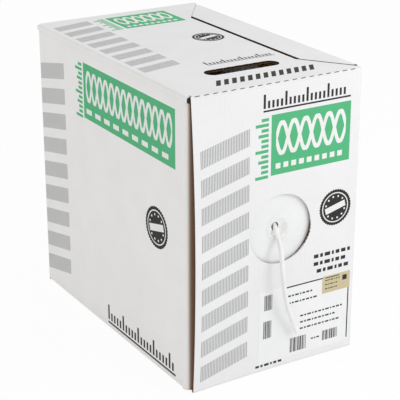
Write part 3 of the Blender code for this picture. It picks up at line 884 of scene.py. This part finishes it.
def makeLid(cut):
    front, back, nose = carton["front"], carton["back"], cut["nose"]
    left, right = carton["left"] + carton["creaseLeg"], carton["right"]
    taper = (right - cut["seam"]) / (-front - cut["kink"])
    close = cut["backClose"]
    outline = [(left, front + nose), (right - taper * nose, front + nose), (cut["seam"], -cut["kink"]),
               (cut["seam"], cut["kink"] - close), (right, back - close), (right, back), (left, back)]
    middle, radius = cut["holeMiddle"], cut["holeRadius"]
    hole = arc((cut["holeLeft"], middle), radius, 90, 270, 24)
    hole += ragged(hole.pop(), (cut["holeRight"], middle - radius), *cut["frontTear"])
    hole += arc((cut["holeRight"], middle), radius, -90, 90, 24)
    hole += ragged(hole.pop(), (cut["holeLeft"], middle + radius), *cut["backTear"])[:-1]
    mesh = corrugated(outline, boardSkin, True, planes["top"], [hole])
    addBoard("topPanel", mesh, uprightBoard, "top_panel", "lid")

    skin, face, edge = carton["top"] - inkRoom, front + inkRoom, carton["panelEdge"]
    legs = (nose, skin - carton["wallTop"] - cut["noseGap"])
    mesh = foldMesh((0, face, skin), alongY, -alongZ, -edge, edge + cut["noseOver"], cut["noseRadius"], legs,
                    boardSkin * cut["noseThick"])
    addBoard("topFrontEdge", mesh, (whiteAcrossX, kraftAcrossX), body="lid")
    plane = facePlane(alongX, (alongY + alongZ).normalized(),
                      (0, face + cut["noseRadius"], skin - cut["noseRadius"]))
    starts = [cut["dashFirst"] + i * cut["dashPitch"] for i in range(cut["dashCount"])]
    dashes = [tiltedBar((start + cut["dash"] / 2, 0), cut["dash"], cut["dashWide"], cut["dashTilt"])
              for start in starts]
    # the perforation's cuts as painted shade, dark dashes along the rounded front edge
    printSheet("cutShadeDashes", dashes, plane, cut["noseRadius"], printMake["rise"], perforation, "lid")
    start, end = front + cut["creaseShift"], carton["backFlapFace"] + cut["creaseShift"]
    makeCrease("topCrease", "left", start, end)


def makeFlap(cut):
    right, seam, kink = carton["right"] - carton["creaseLeg"], cut["flapSeam"], cut["flapKink"]
    corner = cut["flapCorner"]
    share = (corner[0] - right) / (corner[0] - seam)
    end = corner[1] - share * (corner[1] - kink)
    outline = [(seam, -kink), (right, -end), (right, end), (seam, kink)]
    mesh = corrugated(outline, boardSkin, True, planes["top"])
    addBoard("rightTopFlap", mesh, uprightBoard, "right_top_flap", "flap")
    makeCrease("flapCrease", "right", -end, end)


makeLid(lidCut)
makeFlap(lidCut)
print("top built")


# Cable: the tail first, since it is the free cord

cableMake = {
    "diameter": 0.006,
    "spacing": 0.0042,
    "tailLength": 0.147,
    "wire": 0.00048,
    "wireReach": 0.0012,
    "wireRoot": 0.001,
    "wireTrim": 0.16,
    "wireSides": 14,
    "pairAngles": (40, 130, 220, 310),
    "pairPlace": 0.0014,
    "pairTwist": 0.9,
    "copper": 0.000264,
    "copperReach": 0.0004,
    "tail": (
        (0.0023, -0.2005, 0.1825), (0.0018, -0.2054, 0.1791), (0.0013, -0.2102, 0.1730),
        (0.0008, -0.2140, 0.1650), (0.0003, -0.2164, 0.1565), (0.0001, -0.2177, 0.1475),
        (0.0010, -0.2185, 0.1360), (0.0032, -0.2180, 0.1217), (0.0064, -0.2170, 0.1065),
        (0.0122, -0.2152, 0.0870), (0.0180, -0.2136, 0.0735), (0.0226, -0.2122, 0.0631),
        (0.0270, -0.2109, 0.0529), (0.0301, -0.2100, 0.0465),
    ),
    "wrapDegrees": (118, 106, 94, 82, 70, 58, 46, 34, 22),
    "wrapX": (0.0260, 0.0250, 0.0236, 0.0220, 0.0202, 0.0182, 0.0160, 0.0137, 0.0113),
    "wrapRadius": 0.15643,
    "toOutlet": (
        (0.0095, -0.1540, 0.2285), (0.0081, -0.1640, 0.2110), (0.0072, -0.1750, 0.2010),
        (0.0061, -0.1902, 0.1914), (0.0026, -0.1995, 0.1834), (0.0023, -0.2005, 0.1825),
    ),
}


def smoothRoute(points, spacing, steps=40):
    knots = [Vector(p) for p in points]
    knots = [2 * knots[0] - knots[1], *knots, 2 * knots[-1] - knots[-2]]
    fine = []
    for a, b, c, d in zip(knots, knots[1:], knots[2:], knots[3:]):
        square = 2 * a - 5 * b + 4 * c - d
        cube = 3 * b - a - 3 * c + d
        for t in np.linspace(0, 1, steps, endpoint=False):
            fine.append((2 * b + (c - a) * t + square * t**2 + cube * t**3) / 2)
    fine = np.array([*fine, knots[-2]])
    along = np.concatenate([[0], np.cumsum(np.linalg.norm(np.diff(fine, axis=0), axis=1))])
    at = np.linspace(0, along[-1], round(along[-1] / spacing) + 1)
    return np.stack([np.interp(at, along, fine[:, k]) for k in range(3)], axis=1)


def cableCurve(name, points):
    curve = bpy.data.curves.new(name, "CURVE")
    curve.dimensions = "3D"
    curve.bevel_depth = cableMake["diameter"] / 2
    curve.bevel_resolution = 6
    curve.use_fill_caps = True
    spline = curve.splines.new("POLY")
    spline.points.add(len(points) - 1)
    for point, spot in zip(spline.points, points):
        point.co = (*spot, 1.0)
    spline.use_smooth = True
    return addPiece(name, curve, (jacketPlastic,), "carton")


def makeWireEnds(make, route):  # four twisted pairs stand a little out of the cut jacket
    end = Vector(route[-1])
    turn = (end - Vector(route[-2])).normalized().to_track_quat("Z", "Y").to_matrix().to_4x4()
    turn.translation = end
    shape = bmesh.new()
    for pair, angle in enumerate(np.radians(make["pairAngles"])):
        place = around((0, 0), make["pairPlace"], angle)
        for which, side in enumerate((-1, 1)):
            middle = around(place, side * make["wire"], angle + make["pairTwist"] * pair)
            trim = make["wireTrim"] * ((2 * pair + which) * 3 % 5)  # the wires are cut at unlike lengths
            reach = make["wireReach"] * (1 - trim)
            colour = 4 if which else pair
            for radius, tip, finish in ((make["wire"], reach, colour),
                                        (make["copper"], reach + make["copperReach"], 5)):
                known = len(shape.faces)
                shape.from_mesh(prismMesh(circle(middle, radius, make["wireSides"]), -make["wireRoot"], tip))
                shape.faces.ensure_lookup_table()
                for face in shape.faces[known:]:
                    face.material_index = finish
    shape.transform(turn)
    mesh = smoothMesh(toMesh(shape, "wireEnds"))
    return addPiece("wireEnds", mesh, wireFinishes, "carton")


def makeTail(make):
    route = smoothRoute(make["tail"], make["spacing"])
    tail = cableCurve("cableTail", route)
    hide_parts("cable_tail")
    makeWireEnds(make, route)
    radius = make["wrapRadius"]
    wrap = [(x, -radius * math.cos(a), axleHeight + radius * math.sin(a))
            for a, x in zip(np.radians(make["wrapDegrees"]), make["wrapX"])]
    lead = cableCurve("cableLead", smoothRoute([*wrap, *make["toOutlet"]], make["spacing"]))
    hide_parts("cable_lead")


makeTail(cableMake)
print("cable routed")


# Turned pieces

def latheMesh(profile, axis, centre, steps):
    shape = bmesh.new()
    ring = [shape.verts.new(alongZ * radius + axis * along) for radius, along in profile]
    edges = [shape.edges.new((ring[i - 1], ring[i])) for i in range(len(ring))]
    bmesh.ops.spin(shape, geom=ring + edges, cent=(0, 0, 0), axis=axis, angle=2 * math.pi, steps=steps,
                   use_merge=True)
    bmesh.ops.remove_doubles(shape, verts=shape.verts, dist=tiny)
    bmesh.ops.translate(shape, vec=centre, verts=shape.verts)
    return smoothMesh(solidMesh(shape, "turned"), degrees=40)


def addTurned(name, node, profile, finishes, body, axis=alongX, centre=onAxle, steps=96):
    return addPiece(name, latheMesh(profile, axis, centre, steps), finishes, body, [node])


def tubeProfile(node, bore, ease, axis=0):  # a tube as wide and long as its node, with rounded rims
    start, end = low(node)[axis] + ease, high(node)[axis] - ease
    inner, outer = bore + ease, halfTall(node) - ease
    rims = ((inner, start, 180), (outer, start, 270), (outer, end, 0), (inner, end, 90))
    return [point for radius, along, turn in rims for point in arc((radius, along), ease, turn, turn + 90, 4)]


bushingMake = {
    "bore": 0.0125,
    "wall": 0.0018,
    "lip": 0.0009,
    "rimShadeFrom": 0.4,  # share of the lip
    "seatRoom": 0.00005,
    "rimEdge": 0.0001,
    "cupDepth": 0.0085,
    "cupRound": 0.004,
    "throat": 0.0052,
    "ease": 0.0006,
    "ringBore": 0.0146,
    "ringEase": 0.0005,
}


def makeOutlet(make):  # a round cup with a throat for the cable, and the ring that locks it from behind
    front, back = low("payout_bushing").y, high("payout_bushing").y
    rim, centre = halfTall("payout_bushing"), (outlet.x, 0, outlet.z)
    bore, lip, ease, curve, throat = (make[key] for key in ("bore", "lip", "ease", "cupRound", "throat"))
    floor = front + make["cupDepth"]
    seat = carton["innerFace"] + make["seatRoom"]
    sleeve = bore + make["wall"]
    profile = arc((bore + lip, front + lip), lip, 180, 270, 8)
    profile += [(bore + 2 * lip, front), (rim, seat - make["rimEdge"]), (rim, seat), (sleeve, seat)]
    profile += arc((sleeve - ease, back - ease), ease, 0, 90, 4)
    profile += arc((throat + ease, back - ease), ease, 90, 180, 4)
    profile += arc((throat + ease, floor + ease), ease, 180, 270, 4)
    profile += arc((bore - curve, floor - curve), curve, 90, 0, 10)
    cup = addTurned("payoutBushing", "payout_bushing", profile, (litWhitePlastic, rimShadedPlastic), "carton",
                    alongY, centre)
    for face in cup.data.polygons:  # the rim is painted darker than the cup, as painted shade that keeps it from showing brighter than the flap around it
        away = math.hypot(face.center.x - outlet.x, face.center.z - outlet.z)
        face.material_index = 1 if away > bore + make["rimShadeFrom"] * lip else 0
    profile = tubeProfile("bushing_lock_ring", make["ringBore"], make["ringEase"], axis=1)
    addTurned("bushingLockRing", "bushing_lock_ring", profile, (litWhitePlastic,), "carton",
              alongY, centre)


makeOutlet(bushingMake)


# Axle boards, axle and spool

spoolMake = {
    "axleBore": 0.015,
    "tubeEase": 0.0006,
    "boardHole": 0.0193,
    "hubBore": 0.01935,
    "hubSleeve": 0.02535,
    "hubEases": (0.0006, 0.0004, 0.0012, 0.001),  # at the sleeve's end, seat, rim and mouth
    "flangeArbor": 0.02565,
    "rimEase": 0.0018,
    "coreInside": 0.065,
    "ridges": 31,
    "turns": 30,
    "turnGap": 0.0002,
    "turnWaves": ((0.37, 0.0, 0.00025), (1.71, 1.0, 0.0002)),
    "stepsPerTurn": 60,
    "cableSides": 10,
    "boltShank": 0.004,
    "boltEase": 0.0006,
    "nutCorner": 0.0075,
    "nutEase": 0.0005,
}


def makeAxle(make):
    for word, side in (("left", -1), ("right", 1)):
        node = word + "_axle_board"
        lowCorner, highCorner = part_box(node)
        plane = facePlane(side * alongY, alongZ, (highCorner.x if side < 0 else lowCorner.x, 0, 0))
        start, end = sorted((side * lowCorner.y, side * highCorner.y))
        outline = rectangle(start, lowCorner.z, end, highCorner.z)
        hole = circle((0, axleHeight), make["boardHole"])
        mesh = corrugated(outline, highCorner.x - lowCorner.x, True, plane, [hole], plies=2)
        finishes = (kraftAcrossY, kraftAcrossY, kraftFlute)
        addPiece(word + "AxleBoard", mesh, finishes, "carton", [node])
    profile = tubeProfile("axle_tube", make["axleBore"], make["tubeEase"])
    addTurned("axleTube", "axle_tube", profile, (paperTube,), "carton")


def makeHub(make, word):
    node, flange = word + "_hub_bush", word + "_flange"
    ends = (low(node).x, high(node).x)
    side = -1 if word == "left" else 1
    inner, outer = ends[::side]
    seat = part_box(flange)[0 if side < 0 else 1].x + side * seatGap
    rim, bore, sleeve = halfTall(node), make["hubBore"], make["hubSleeve"]
    endEase, seatEase, rimEase, mouthEase = make["hubEases"]
    profile = [(bore, inner + side * endEase), (bore + endEase, inner), (sleeve, inner), (sleeve, seat),
               (rim - seatEase, seat), (rim, seat + side * seatEase), (rim, outer - side * rimEase),
               (rim - rimEase, outer), (bore + mouthEase, outer), (bore, outer - side * mouthEase)]
    addTurned(word + "HubBush", node, profile, (litWhitePlastic,), "spool")


def makeSpool(make):
    for word in ("left", "right"):
        profile = tubeProfile(word + "_flange", make["flangeArbor"], make["rimEase"])
        addTurned(word + "Flange", word + "_flange", profile, (plywood,), "spool", steps=128)
        makeHub(make, word)
    profile = tubeProfile("spool_core", make["coreInside"], make["tubeEase"])
    addTurned("spoolCore", "spool_core", profile, (paperTube,), "spool")


def makeFasteners(make):
    shank, ease = make["boltShank"], make["boltEase"]
    seat = low("left_flange").x - seatGap
    for number in range(1, 5):
        bolt, nut = f"tie_bolt_{number}", f"tie_nut_{number}"
        start, end = low(bolt), high(bolt)
        middle, head = (start + end) / 2, halfTall(bolt)
        profile = [(0, end.x), (shank - ease, end.x), (shank, end.x - ease), (shank, seat)]
        profile += [(head * math.cos(a), seat - (seat - start.x) * math.sin(a))
                    for a in np.linspace(0, math.pi / 2, 9)]
        addTurned(f"tieBolt{number}", bolt, profile, (zincSteel,), "spool",
                  centre=(0, middle.y, middle.z), steps=32)
        start, end = low(nut).x, high(nut).x
        corners = [(start, *around(middle.yz, make["nutCorner"], a)) for a in np.radians(range(0, 360, 60))]
        shape = extruded([corners], (end - start, 0, 0))
        bmesh.ops.bevel(shape, geom=shape.edges[:], offset=make["nutEase"], segments=2, affect="EDGES")
        mesh = smoothMesh(toMesh(shape, nut))
        addPiece(f"tieNut{number}", mesh, (zincSteel,), "spool", [nut])


def makeWinding(make):
    radius, reach = cableMake["diameter"] / 2, high("cable_pack").x
    packRadius = halfTall("cable_pack")
    inner = high("spool_core").z - axleHeight + seatGap
    ridge = 2 * reach / make["ridges"]
    profile = [(inner, reach), (inner, -reach)]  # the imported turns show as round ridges
    for step in range(make["ridges"]):
        middle = -reach + (step + 0.5) * ridge
        for a in np.linspace(math.pi, 0, 7):
            profile.append((packRadius - radius + radius * math.sin(a), middle + ridge / 2 * math.cos(a)))
    addTurned("cablePack", "cable_pack", profile, (jacketPlastic,), "spool")

    side = high("cable_winding").x - radius
    turnRadius = packRadius + radius + make["turnGap"]
    count = make["turns"] * make["stepsPerTurn"]
    angles = np.arange(count + 1) * 2 * math.pi / make["stepsPerTurn"]
    places = np.linspace(-side, side, count + 1) + waveSum(angles, make["turnWaves"])
    ring = np.arange(make["cableSides"]) * 2 * math.pi / make["cableSides"]
    shape = bmesh.new()
    rows = []
    for a, place in zip(angles, places):
        out = Vector((0, math.sin(a), math.cos(a)))
        middle = Vector((place, 0, axleHeight)) + out * turnRadius
        spokes = [out * math.cos(t) + alongX * math.sin(t) for t in ring]
        rows.append([shape.verts.new(middle + radius * spoke) for spoke in spokes])
    loft(shape, rows)
    for row in (rows[0], rows[-1]):
        shape.faces.new(row)
    mesh = smoothMesh(solidMesh(shape, "winding"), degrees=60)
    addPiece("cableWinding", mesh, (jacketPlastic,), "spool", ["cable_winding"])


makeAxle(spoolMake)
makeSpool(spoolMake)
makeFasteners(spoolMake)
makeWinding(spoolMake)
print("spool built")


# Print in generic motifs

printStyle = {
    "margin": 0.09,  # this and the next five are shares of the green block's height
    "waveMiddle": 0.60,
    "waveSwing": 0.25,
    "waveWidth": 0.065,
    "dashFoot": 0.10,
    "dashHead": 0.19,
    "wavesPerTall": 2.2,
    "dashCount": 9,
    "dashFill": 0.62,
    "dashPattern": (2.6, 1.6, 3.2, 1.2, 2.2),
    "scaleLine": 0.10,  # this and the next two are shares of the row's height
    "scaleFoot": 0.20,
    "scaleShort": 0.62,
    "scaleFill": 0.52,
    "slantFill": 0.58,
    "slantLean": 0.6,
    "hatchFill": 0.62,
    "hatchSlope": 0.22,
    "hatchPitch": 0.0023,
    "hatchLine": 0.58,
    "rulerCount": 12,
    "rulerFill": 0.6,
    "rulerLengths": (1.0, 0.55, 0.55, 0.78, 0.55),
    "sealTooth": 0.022,  # this and the next five are shares of a seal's radius
    "sealRing": 0.84,
    "sealHeart": 0.78,
    "sealBar": (1.30, 0.34),
    "sealDots": 0.62,
    "sealDot": 0.055,
    "sealClear": 0.4,
    "sealTilt": 14,
}


def waveBand(u0, u1, middle, swing, waves, width, phase):  # a sine band, one wire of a twisted pair
    us = np.linspace(u0, u1, waves * 16 + 1)
    rate = 2 * math.pi * waves / (u1 - u0)
    centre = middle + swing * np.sin(rate * (us - u0) + phase)
    half = width / 2 * np.sqrt(1 + (swing * rate * np.cos(rate * (us - u0) + phase)) ** 2)
    upper, lower = list(zip(us, centre + half)), list(zip(us, centre - half))
    return lower + upper[::-1]


def scaleRow(u0, v0, u1, v1, pitch):  # even ticks above a thin line, as on a measure
    look, tall = printStyle, v1 - v0
    marks = [rectangle(u0, v0, u1, v0 + look["scaleLine"] * tall)]
    for i in range(int((u1 - u0) / pitch)):
        start, end = u0 + i * pitch, u0 + (i + look["scaleFill"]) * pitch
        share = look["scaleShort"] if i % 5 else 1.0
        marks.append(rectangle(start, v0 + look["scaleFoot"] * tall, end, v0 + share * tall))
    return marks


def slantRow(u0, v0, u1, v1, pitch):  # short leaning bars
    lean, wide = printStyle["slantLean"] * (v1 - v0), printStyle["slantFill"] * pitch
    starts = [u0 + i * pitch for i in range(int((u1 - u0 - lean) / pitch))]
    return [[(a, v0), (a + wide, v0), (a + wide + lean, v1), (a + lean, v1)] for a in starts]


def dashRow(u0, v0, u1, v1, pitch):  # a plain broken line of long and short dashes
    marks, at = [], u0
    while at < u1 - pitch:
        end = min(u1, at + printStyle["dashPattern"][len(marks) % 5] * pitch)
        marks.append(rectangle(at, v0, end, v1))
        at = end + pitch
    return marks


def hatchBars(u0, v0, u1, v1, count):  # slanted bars made of fine lines
    look, slope, pitch = printStyle, printStyle["hatchSlope"], printStyle["hatchPitch"]
    step = (v1 - v0 - slope * (u1 - u0)) / (count - 1 + look["hatchFill"])
    tall = step * look["hatchFill"]
    bars = []
    for bar in range(count):
        for i in range(int((u1 - u0) / pitch)):
            a, b = u0 + i * pitch, u0 + (i + look["hatchLine"]) * pitch
            footA, footB = (v0 + bar * step + slope * (u - u0) for u in (a, b))
            bars.append([(a, footA), (b, footB), (b, footB + tall), (a, footA + tall)])
    return bars


def rulerTicks(u0, v0, u1, v1):  # short bars of unlike lengths beside the green block
    look, step = printStyle, (v1 - v0) / printStyle["rulerCount"]
    ticks = []
    for i in range(look["rulerCount"]):
        start = u1 - (u1 - u0) * look["rulerLengths"][i % 5]
        ticks.append(rectangle(start, v0 + i * step, u1, v0 + (i + look["rulerFill"]) * step))
    return ticks


def scallop(centre, radius, teeth=40):
    return [around(centre, radius * (1 + printStyle["sealTooth"] * math.cos(teeth * a)), a)
            for a in np.linspace(0, 2 * math.pi, teeth * 6, endpoint=False)]


def sealBars(centre, radius):  # a tilted bar, with dots round the heart where they clear it
    look, tilt = printStyle, printStyle["sealTilt"]
    long, tall = (share * radius for share in look["sealBar"])
    marks = [tiltedBar(centre, long, tall, tilt)]
    for a in np.radians(range(tilt, tilt + 360, 30)):
        if abs(math.sin(a - math.radians(tilt))) > look["sealClear"]:
            spot = around(centre, radius * look["sealDots"], a)
            marks.append(circle(spot, radius * look["sealDot"], 12))
    return marks


def printFace(word, body, layout, bend=None):
    look = printStyle

    def sheet(name, outlines, layer, finish):
        lift = printMake["rise"] * layer
        printSheet(word + name, outlines, planes[word], boardSkin, lift, finish, body, bend)

    u0, v0, u1, v1 = layout["block"]
    tall = v1 - v0
    start, end = u0 + look["margin"] * tall, u1 - look["margin"] * tall
    sheet("GreenBlock", [rectangle(u0, v0, u1, v1)], 1, greenInk)
    waves = max(2, round((u1 - u0) / tall * look["wavesPerTall"]))
    middle, swing, width = v0 + look["waveMiddle"] * tall, look["waveSwing"] * tall, look["waveWidth"] * tall
    for name, phase, layer in (("FirstWire", 0.0, 2), ("SecondWire", math.pi, 3)):
        sheet(name, [waveBand(start, end, middle, swing, waves, width, phase)], layer, whiteInk)
    dash = (end - start) / look["dashCount"]
    foot, head = v0 + look["dashFoot"] * tall, v0 + look["dashHead"] * tall
    dashes = [rectangle(start + i * dash, foot, start + (i + look["dashFill"]) * dash, head)
              for i in range(look["dashCount"])]
    sheet("BlockDashes", dashes, 2, whiteInk)
    sheet("Ruler", rulerTicks(*layout["ruler"]), 1, greenInk)
    sheet("HatchBars", hatchBars(*layout["hatch"], layout["bars"]), 1, greyInk)
    black = [mark for kind, row in layout["marks"] for mark in kind(*row)]
    centre, radius = layout["seal"]
    sheet("BlackMarks", [*black, scallop(centre, radius)], 1, blackInk)
    sheet("SealRing", [circle(centre, radius * look["sealRing"], 64)], 2, whiteInk)
    sheet("SealHeart", [circle(centre, radius * look["sealHeart"], 64)], 3, blackInk)
    sheet("SealBars", sealBars(centre, radius), 4, whiteInk)


printLayouts = {
    "front": {
        "block": (-0.010, 0.264, 0.108, 0.341),
        "ruler": (-0.033, 0.262, -0.014, 0.341),
        "hatch": (-0.112, 0.012, -0.039, 0.330),
        "bars": 9,
        "marks": [
            (scaleRow, (-0.022, 0.346, 0.107, 0.368, 0.0062)),
            (dashRow, (0.059, 0.1390, 0.118, 0.1440, 0.0027)),
            (dashRow, (0.059, 0.1285, 0.112, 0.1335, 0.0027)),
            (dashRow, (0.064, 0.1180, 0.118, 0.1230, 0.0027)),
            (dashRow, (-0.028, 0.0060, 0.016, 0.0092, 0.0022)),
        ],
        "seal": ((0.0895, 0.203), 0.0240),
    },
    "left": {
        "block": (-0.063, 0.285, 0.175, 0.360),
        "ruler": (-0.086, 0.283, -0.067, 0.360),
        "hatch": (-0.194, 0.020, -0.120, 0.345),
        "bars": 9,
        "marks": [(scaleRow, (-0.009, 0.008, 0.172, 0.035, 0.0082))],
        "seal": ((0.128, 0.195), 0.0272),
    },
    "top": {
        "block": (-0.032, 0.117, 0.062, 0.183),
        "ruler": (-0.054, 0.117, -0.036, 0.183),
        "hatch": (-0.117, -0.087, -0.058, 0.183),
        "bars": 8,
        "marks": [
            (slantRow, (-0.074, -0.1805, 0.090, -0.1610, 0.0112)),
            (scaleRow, (-0.035, -0.099, 0.064, -0.084, 0.0052)),
        ],
        "seal": ((0.0385, 0.021), 0.0215),
    },
}

printFace("front", "carton", printLayouts["front"], bowOut)
printFace("left", "carton", printLayouts["left"])
printFace("right", "carton", printLayouts["left"])
printFace("back", "carton", printLayouts["front"])
printFace("top", "lid", printLayouts["top"])
print("print laid on")


# Labels

labelMake = {
    "paper": 0.00025,
    "line": 0.0018,
    "lineStart": 0.042,
    "lineFoot": 0.004,
    "codes": [
        (-0.0160, 0.084, -0.004, 0.105), (-0.0170, 0.045, -0.004, 0.069),
        (0.025, 0.015, 0.051, 0.035), (0.076, 0.019, 0.101, 0.033),
    ],
    "rows": [
        (0.020, 0.0945, 0.060, 0.0967, 0.0018), (0.020, 0.0845, 0.066, 0.0867, 0.0018),
        (0.040, 0.0625, 0.108, 0.0647, 0.0018), (0.040, 0.0535, 0.096, 0.0557, 0.0018),
        (0.040, 0.0445, 0.104, 0.0467, 0.0018), (0.058, 0.0256, 0.072, 0.0276, 0.0014),
    ],
    "barWidths": (1, 2, 1, 3, 1, 1, 2, 1, 3, 2, 1, 1),
    "barUnits": 36,
    "barGap": 0.6,
    "stickerRows": (0.62, 0.55, 0.60),  # where each row ends, as a share of the width
    "stickerStart": 0.10,
    "stickerFirst": 0.0068,
    "stickerStep": 0.0058,
    "stickerRow": 0.0014,
    "stickerDash": 0.0013,
    "stickerBlocks": [(0.0315, 0.0125, 0.0385, 0.0195), (0.0045, 0.0205, 0.0265, 0.0218)],
}


def barCode(u0, v0, u1, v1):  # bars of unlike widths, with no number beside them
    bars, at = [], u0
    unit = (u1 - u0) / labelMake["barUnits"]
    while at < u1 - unit:
        i = len(bars)
        width = labelMake["barWidths"][i % 12] * unit
        bars.append(rectangle(at, v0, min(at + width, u1), v1))
        at += width + unit * (1 + (i * 7) % 3) * labelMake["barGap"]
    return bars


def makeLabels(make):
    paper, line, rise = make["paper"], make["line"], printMake["rise"]

    def sheet(name, outlines, base, thick, finish, slot):
        return printSheet(name, outlines, planes["front"], base, thick, finish, "carton", bowOut)

    def cornersOf(node):
        return (low(node).x, low(node).z, high(node).x, high(node).z)

    corners = cornersOf("shipping_label")
    left, bottom, right, top = corners
    label = sheet("shippingLabel", [rectangle(*corners)], boardSkin, paper, labelPaper, "label_paper")
    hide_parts("shipping_label")
    marks = [rectangle(left + make["lineStart"], top - 2 * line, right - line, top - line),
             rectangle(right - 2 * line, bottom + make["lineFoot"], right - line, top - 2 * line)]
    for code in make["codes"]:
        marks += barCode(*code)
    for row in make["rows"]:
        marks += dashRow(*row)
    sheet("labelMarks", marks, boardSkin + paper, rise, blackInk, "label_paper")

    corners = cornersOf("tan_sticker")
    left, bottom, right, top = corners
    sticker = sheet("tanSticker", [rectangle(*corners)], boardSkin + paper, paper, tanPaper, "tan_paper")
    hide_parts("tan_sticker")
    wide = right - left
    marks = []
    for k, share in enumerate(make["stickerRows"]):
        start, end = left + make["stickerStart"] * wide, left + share * wide
        foot = top - make["stickerFirst"] - make["stickerStep"] * k
        marks += dashRow(start, foot, end, foot + make["stickerRow"], make["stickerDash"])
    for u0, v0, u1, v1 in make["stickerBlocks"]:
        marks.append(rectangle(left + u0, bottom + v0, left + u1, bottom + v1))
    sheet("stickerMarks", marks, boardSkin + 2 * paper, rise, blackInk, "tan_paper")


makeLabels(labelMake)
print("labels stuck on")


# Floor, world and lamp

studio = {
    "overhead": 0.72,
    "horizon": 1.0,
    "floor": 0.93,
    "floorGlow": 0.93,
    "floorDrop": 0.0004,
    "floorReach": 8.0,
    "keyPower": 4.2,
    "keyPlace": (0.6, -1.0, 0.95),
    "keyTarget": (0, 0, 0.2),
    "keySize": 0.5,
}


def seenDirectly(tree):  # 1 for what is looked at, mirrored or seen through
    path = addNode(tree, "ShaderNodeLightPath").outputs
    seen = calc(tree, "MAXIMUM", path["Is Camera Ray"], path["Is Glossy Ray"])
    return calc(tree, "MAXIMUM", seen, path["Is Transmission Ray"])


def makeWorld(look):
    world = bpy.data.worlds.new("studioWorld")
    bpy.context.scene.world = world
    world.use_nodes = True
    tree = world.node_tree
    tree.nodes.clear()
    direction = addNode(tree, "ShaderNodeTexCoord").outputs["Generated"]
    height = addNode(tree, "ShaderNodeSeparateXYZ", {0: direction}).outputs[2]
    soft = spread(tree, height, 0.0, 1.0, look["horizon"], look["overhead"])
    strength = spread(tree, seenDirectly(tree), 0.0, 1.0, soft, 1.0)
    back = addNode(tree, "ShaderNodeBackground", {"Color": (1, 1, 1, 1), "Strength": strength})
    addNode(tree, "ShaderNodeOutputWorld", {"Surface": back.outputs[0]})


def makeFloor(look):
    shape = bmesh.new()
    bmesh.ops.create_grid(shape, x_segments=1, y_segments=1, size=look["floorReach"])
    floor = bpy.data.objects.new("studioFloor", toMesh(shape, "studioFloor"))
    floor.location.z = -look["floorDrop"]
    bpy.context.scene.collection.objects.link(floor)
    material, tree, shader = newMaterial("paleFloor")
    shader["Base Color"].default_value = (look["floor"], look["floor"], look["floor"], 1.0)
    shader["Roughness"].default_value = 0.9
    glow = addNode(tree, "ShaderNodeEmission", {"Color": (1, 1, 1, 1), "Strength": 1.0}).outputs[0]
    share = calc(tree, "MULTIPLY", seenDirectly(tree), look["floorGlow"])
    plain = tree.nodes["Principled BSDF"].outputs[0]
    mixed = addNode(tree, "ShaderNodeMixShader", {0: share, 1: plain, 2: glow}).outputs[0]
    tree.links.new(mixed, tree.nodes["Material Output"].inputs["Surface"])
    floor.data.materials.append(material)


def makeLamp(look):
    lamp = bpy.data.lights.new("keyLamp", "AREA")
    lamp.energy = look["keyPower"]
    lamp.size = look["keySize"]
    key = bpy.data.objects.new("keyLamp", lamp)
    key.location = look["keyPlace"]
    aim(key, Vector(look["keyTarget"]) - key.location)
    bpy.context.scene.collection.objects.link(key)


makeWorld(studio)
makeFloor(studio)
makeLamp(studio)
print("studio lit")

bpy.context.view_layer.update()
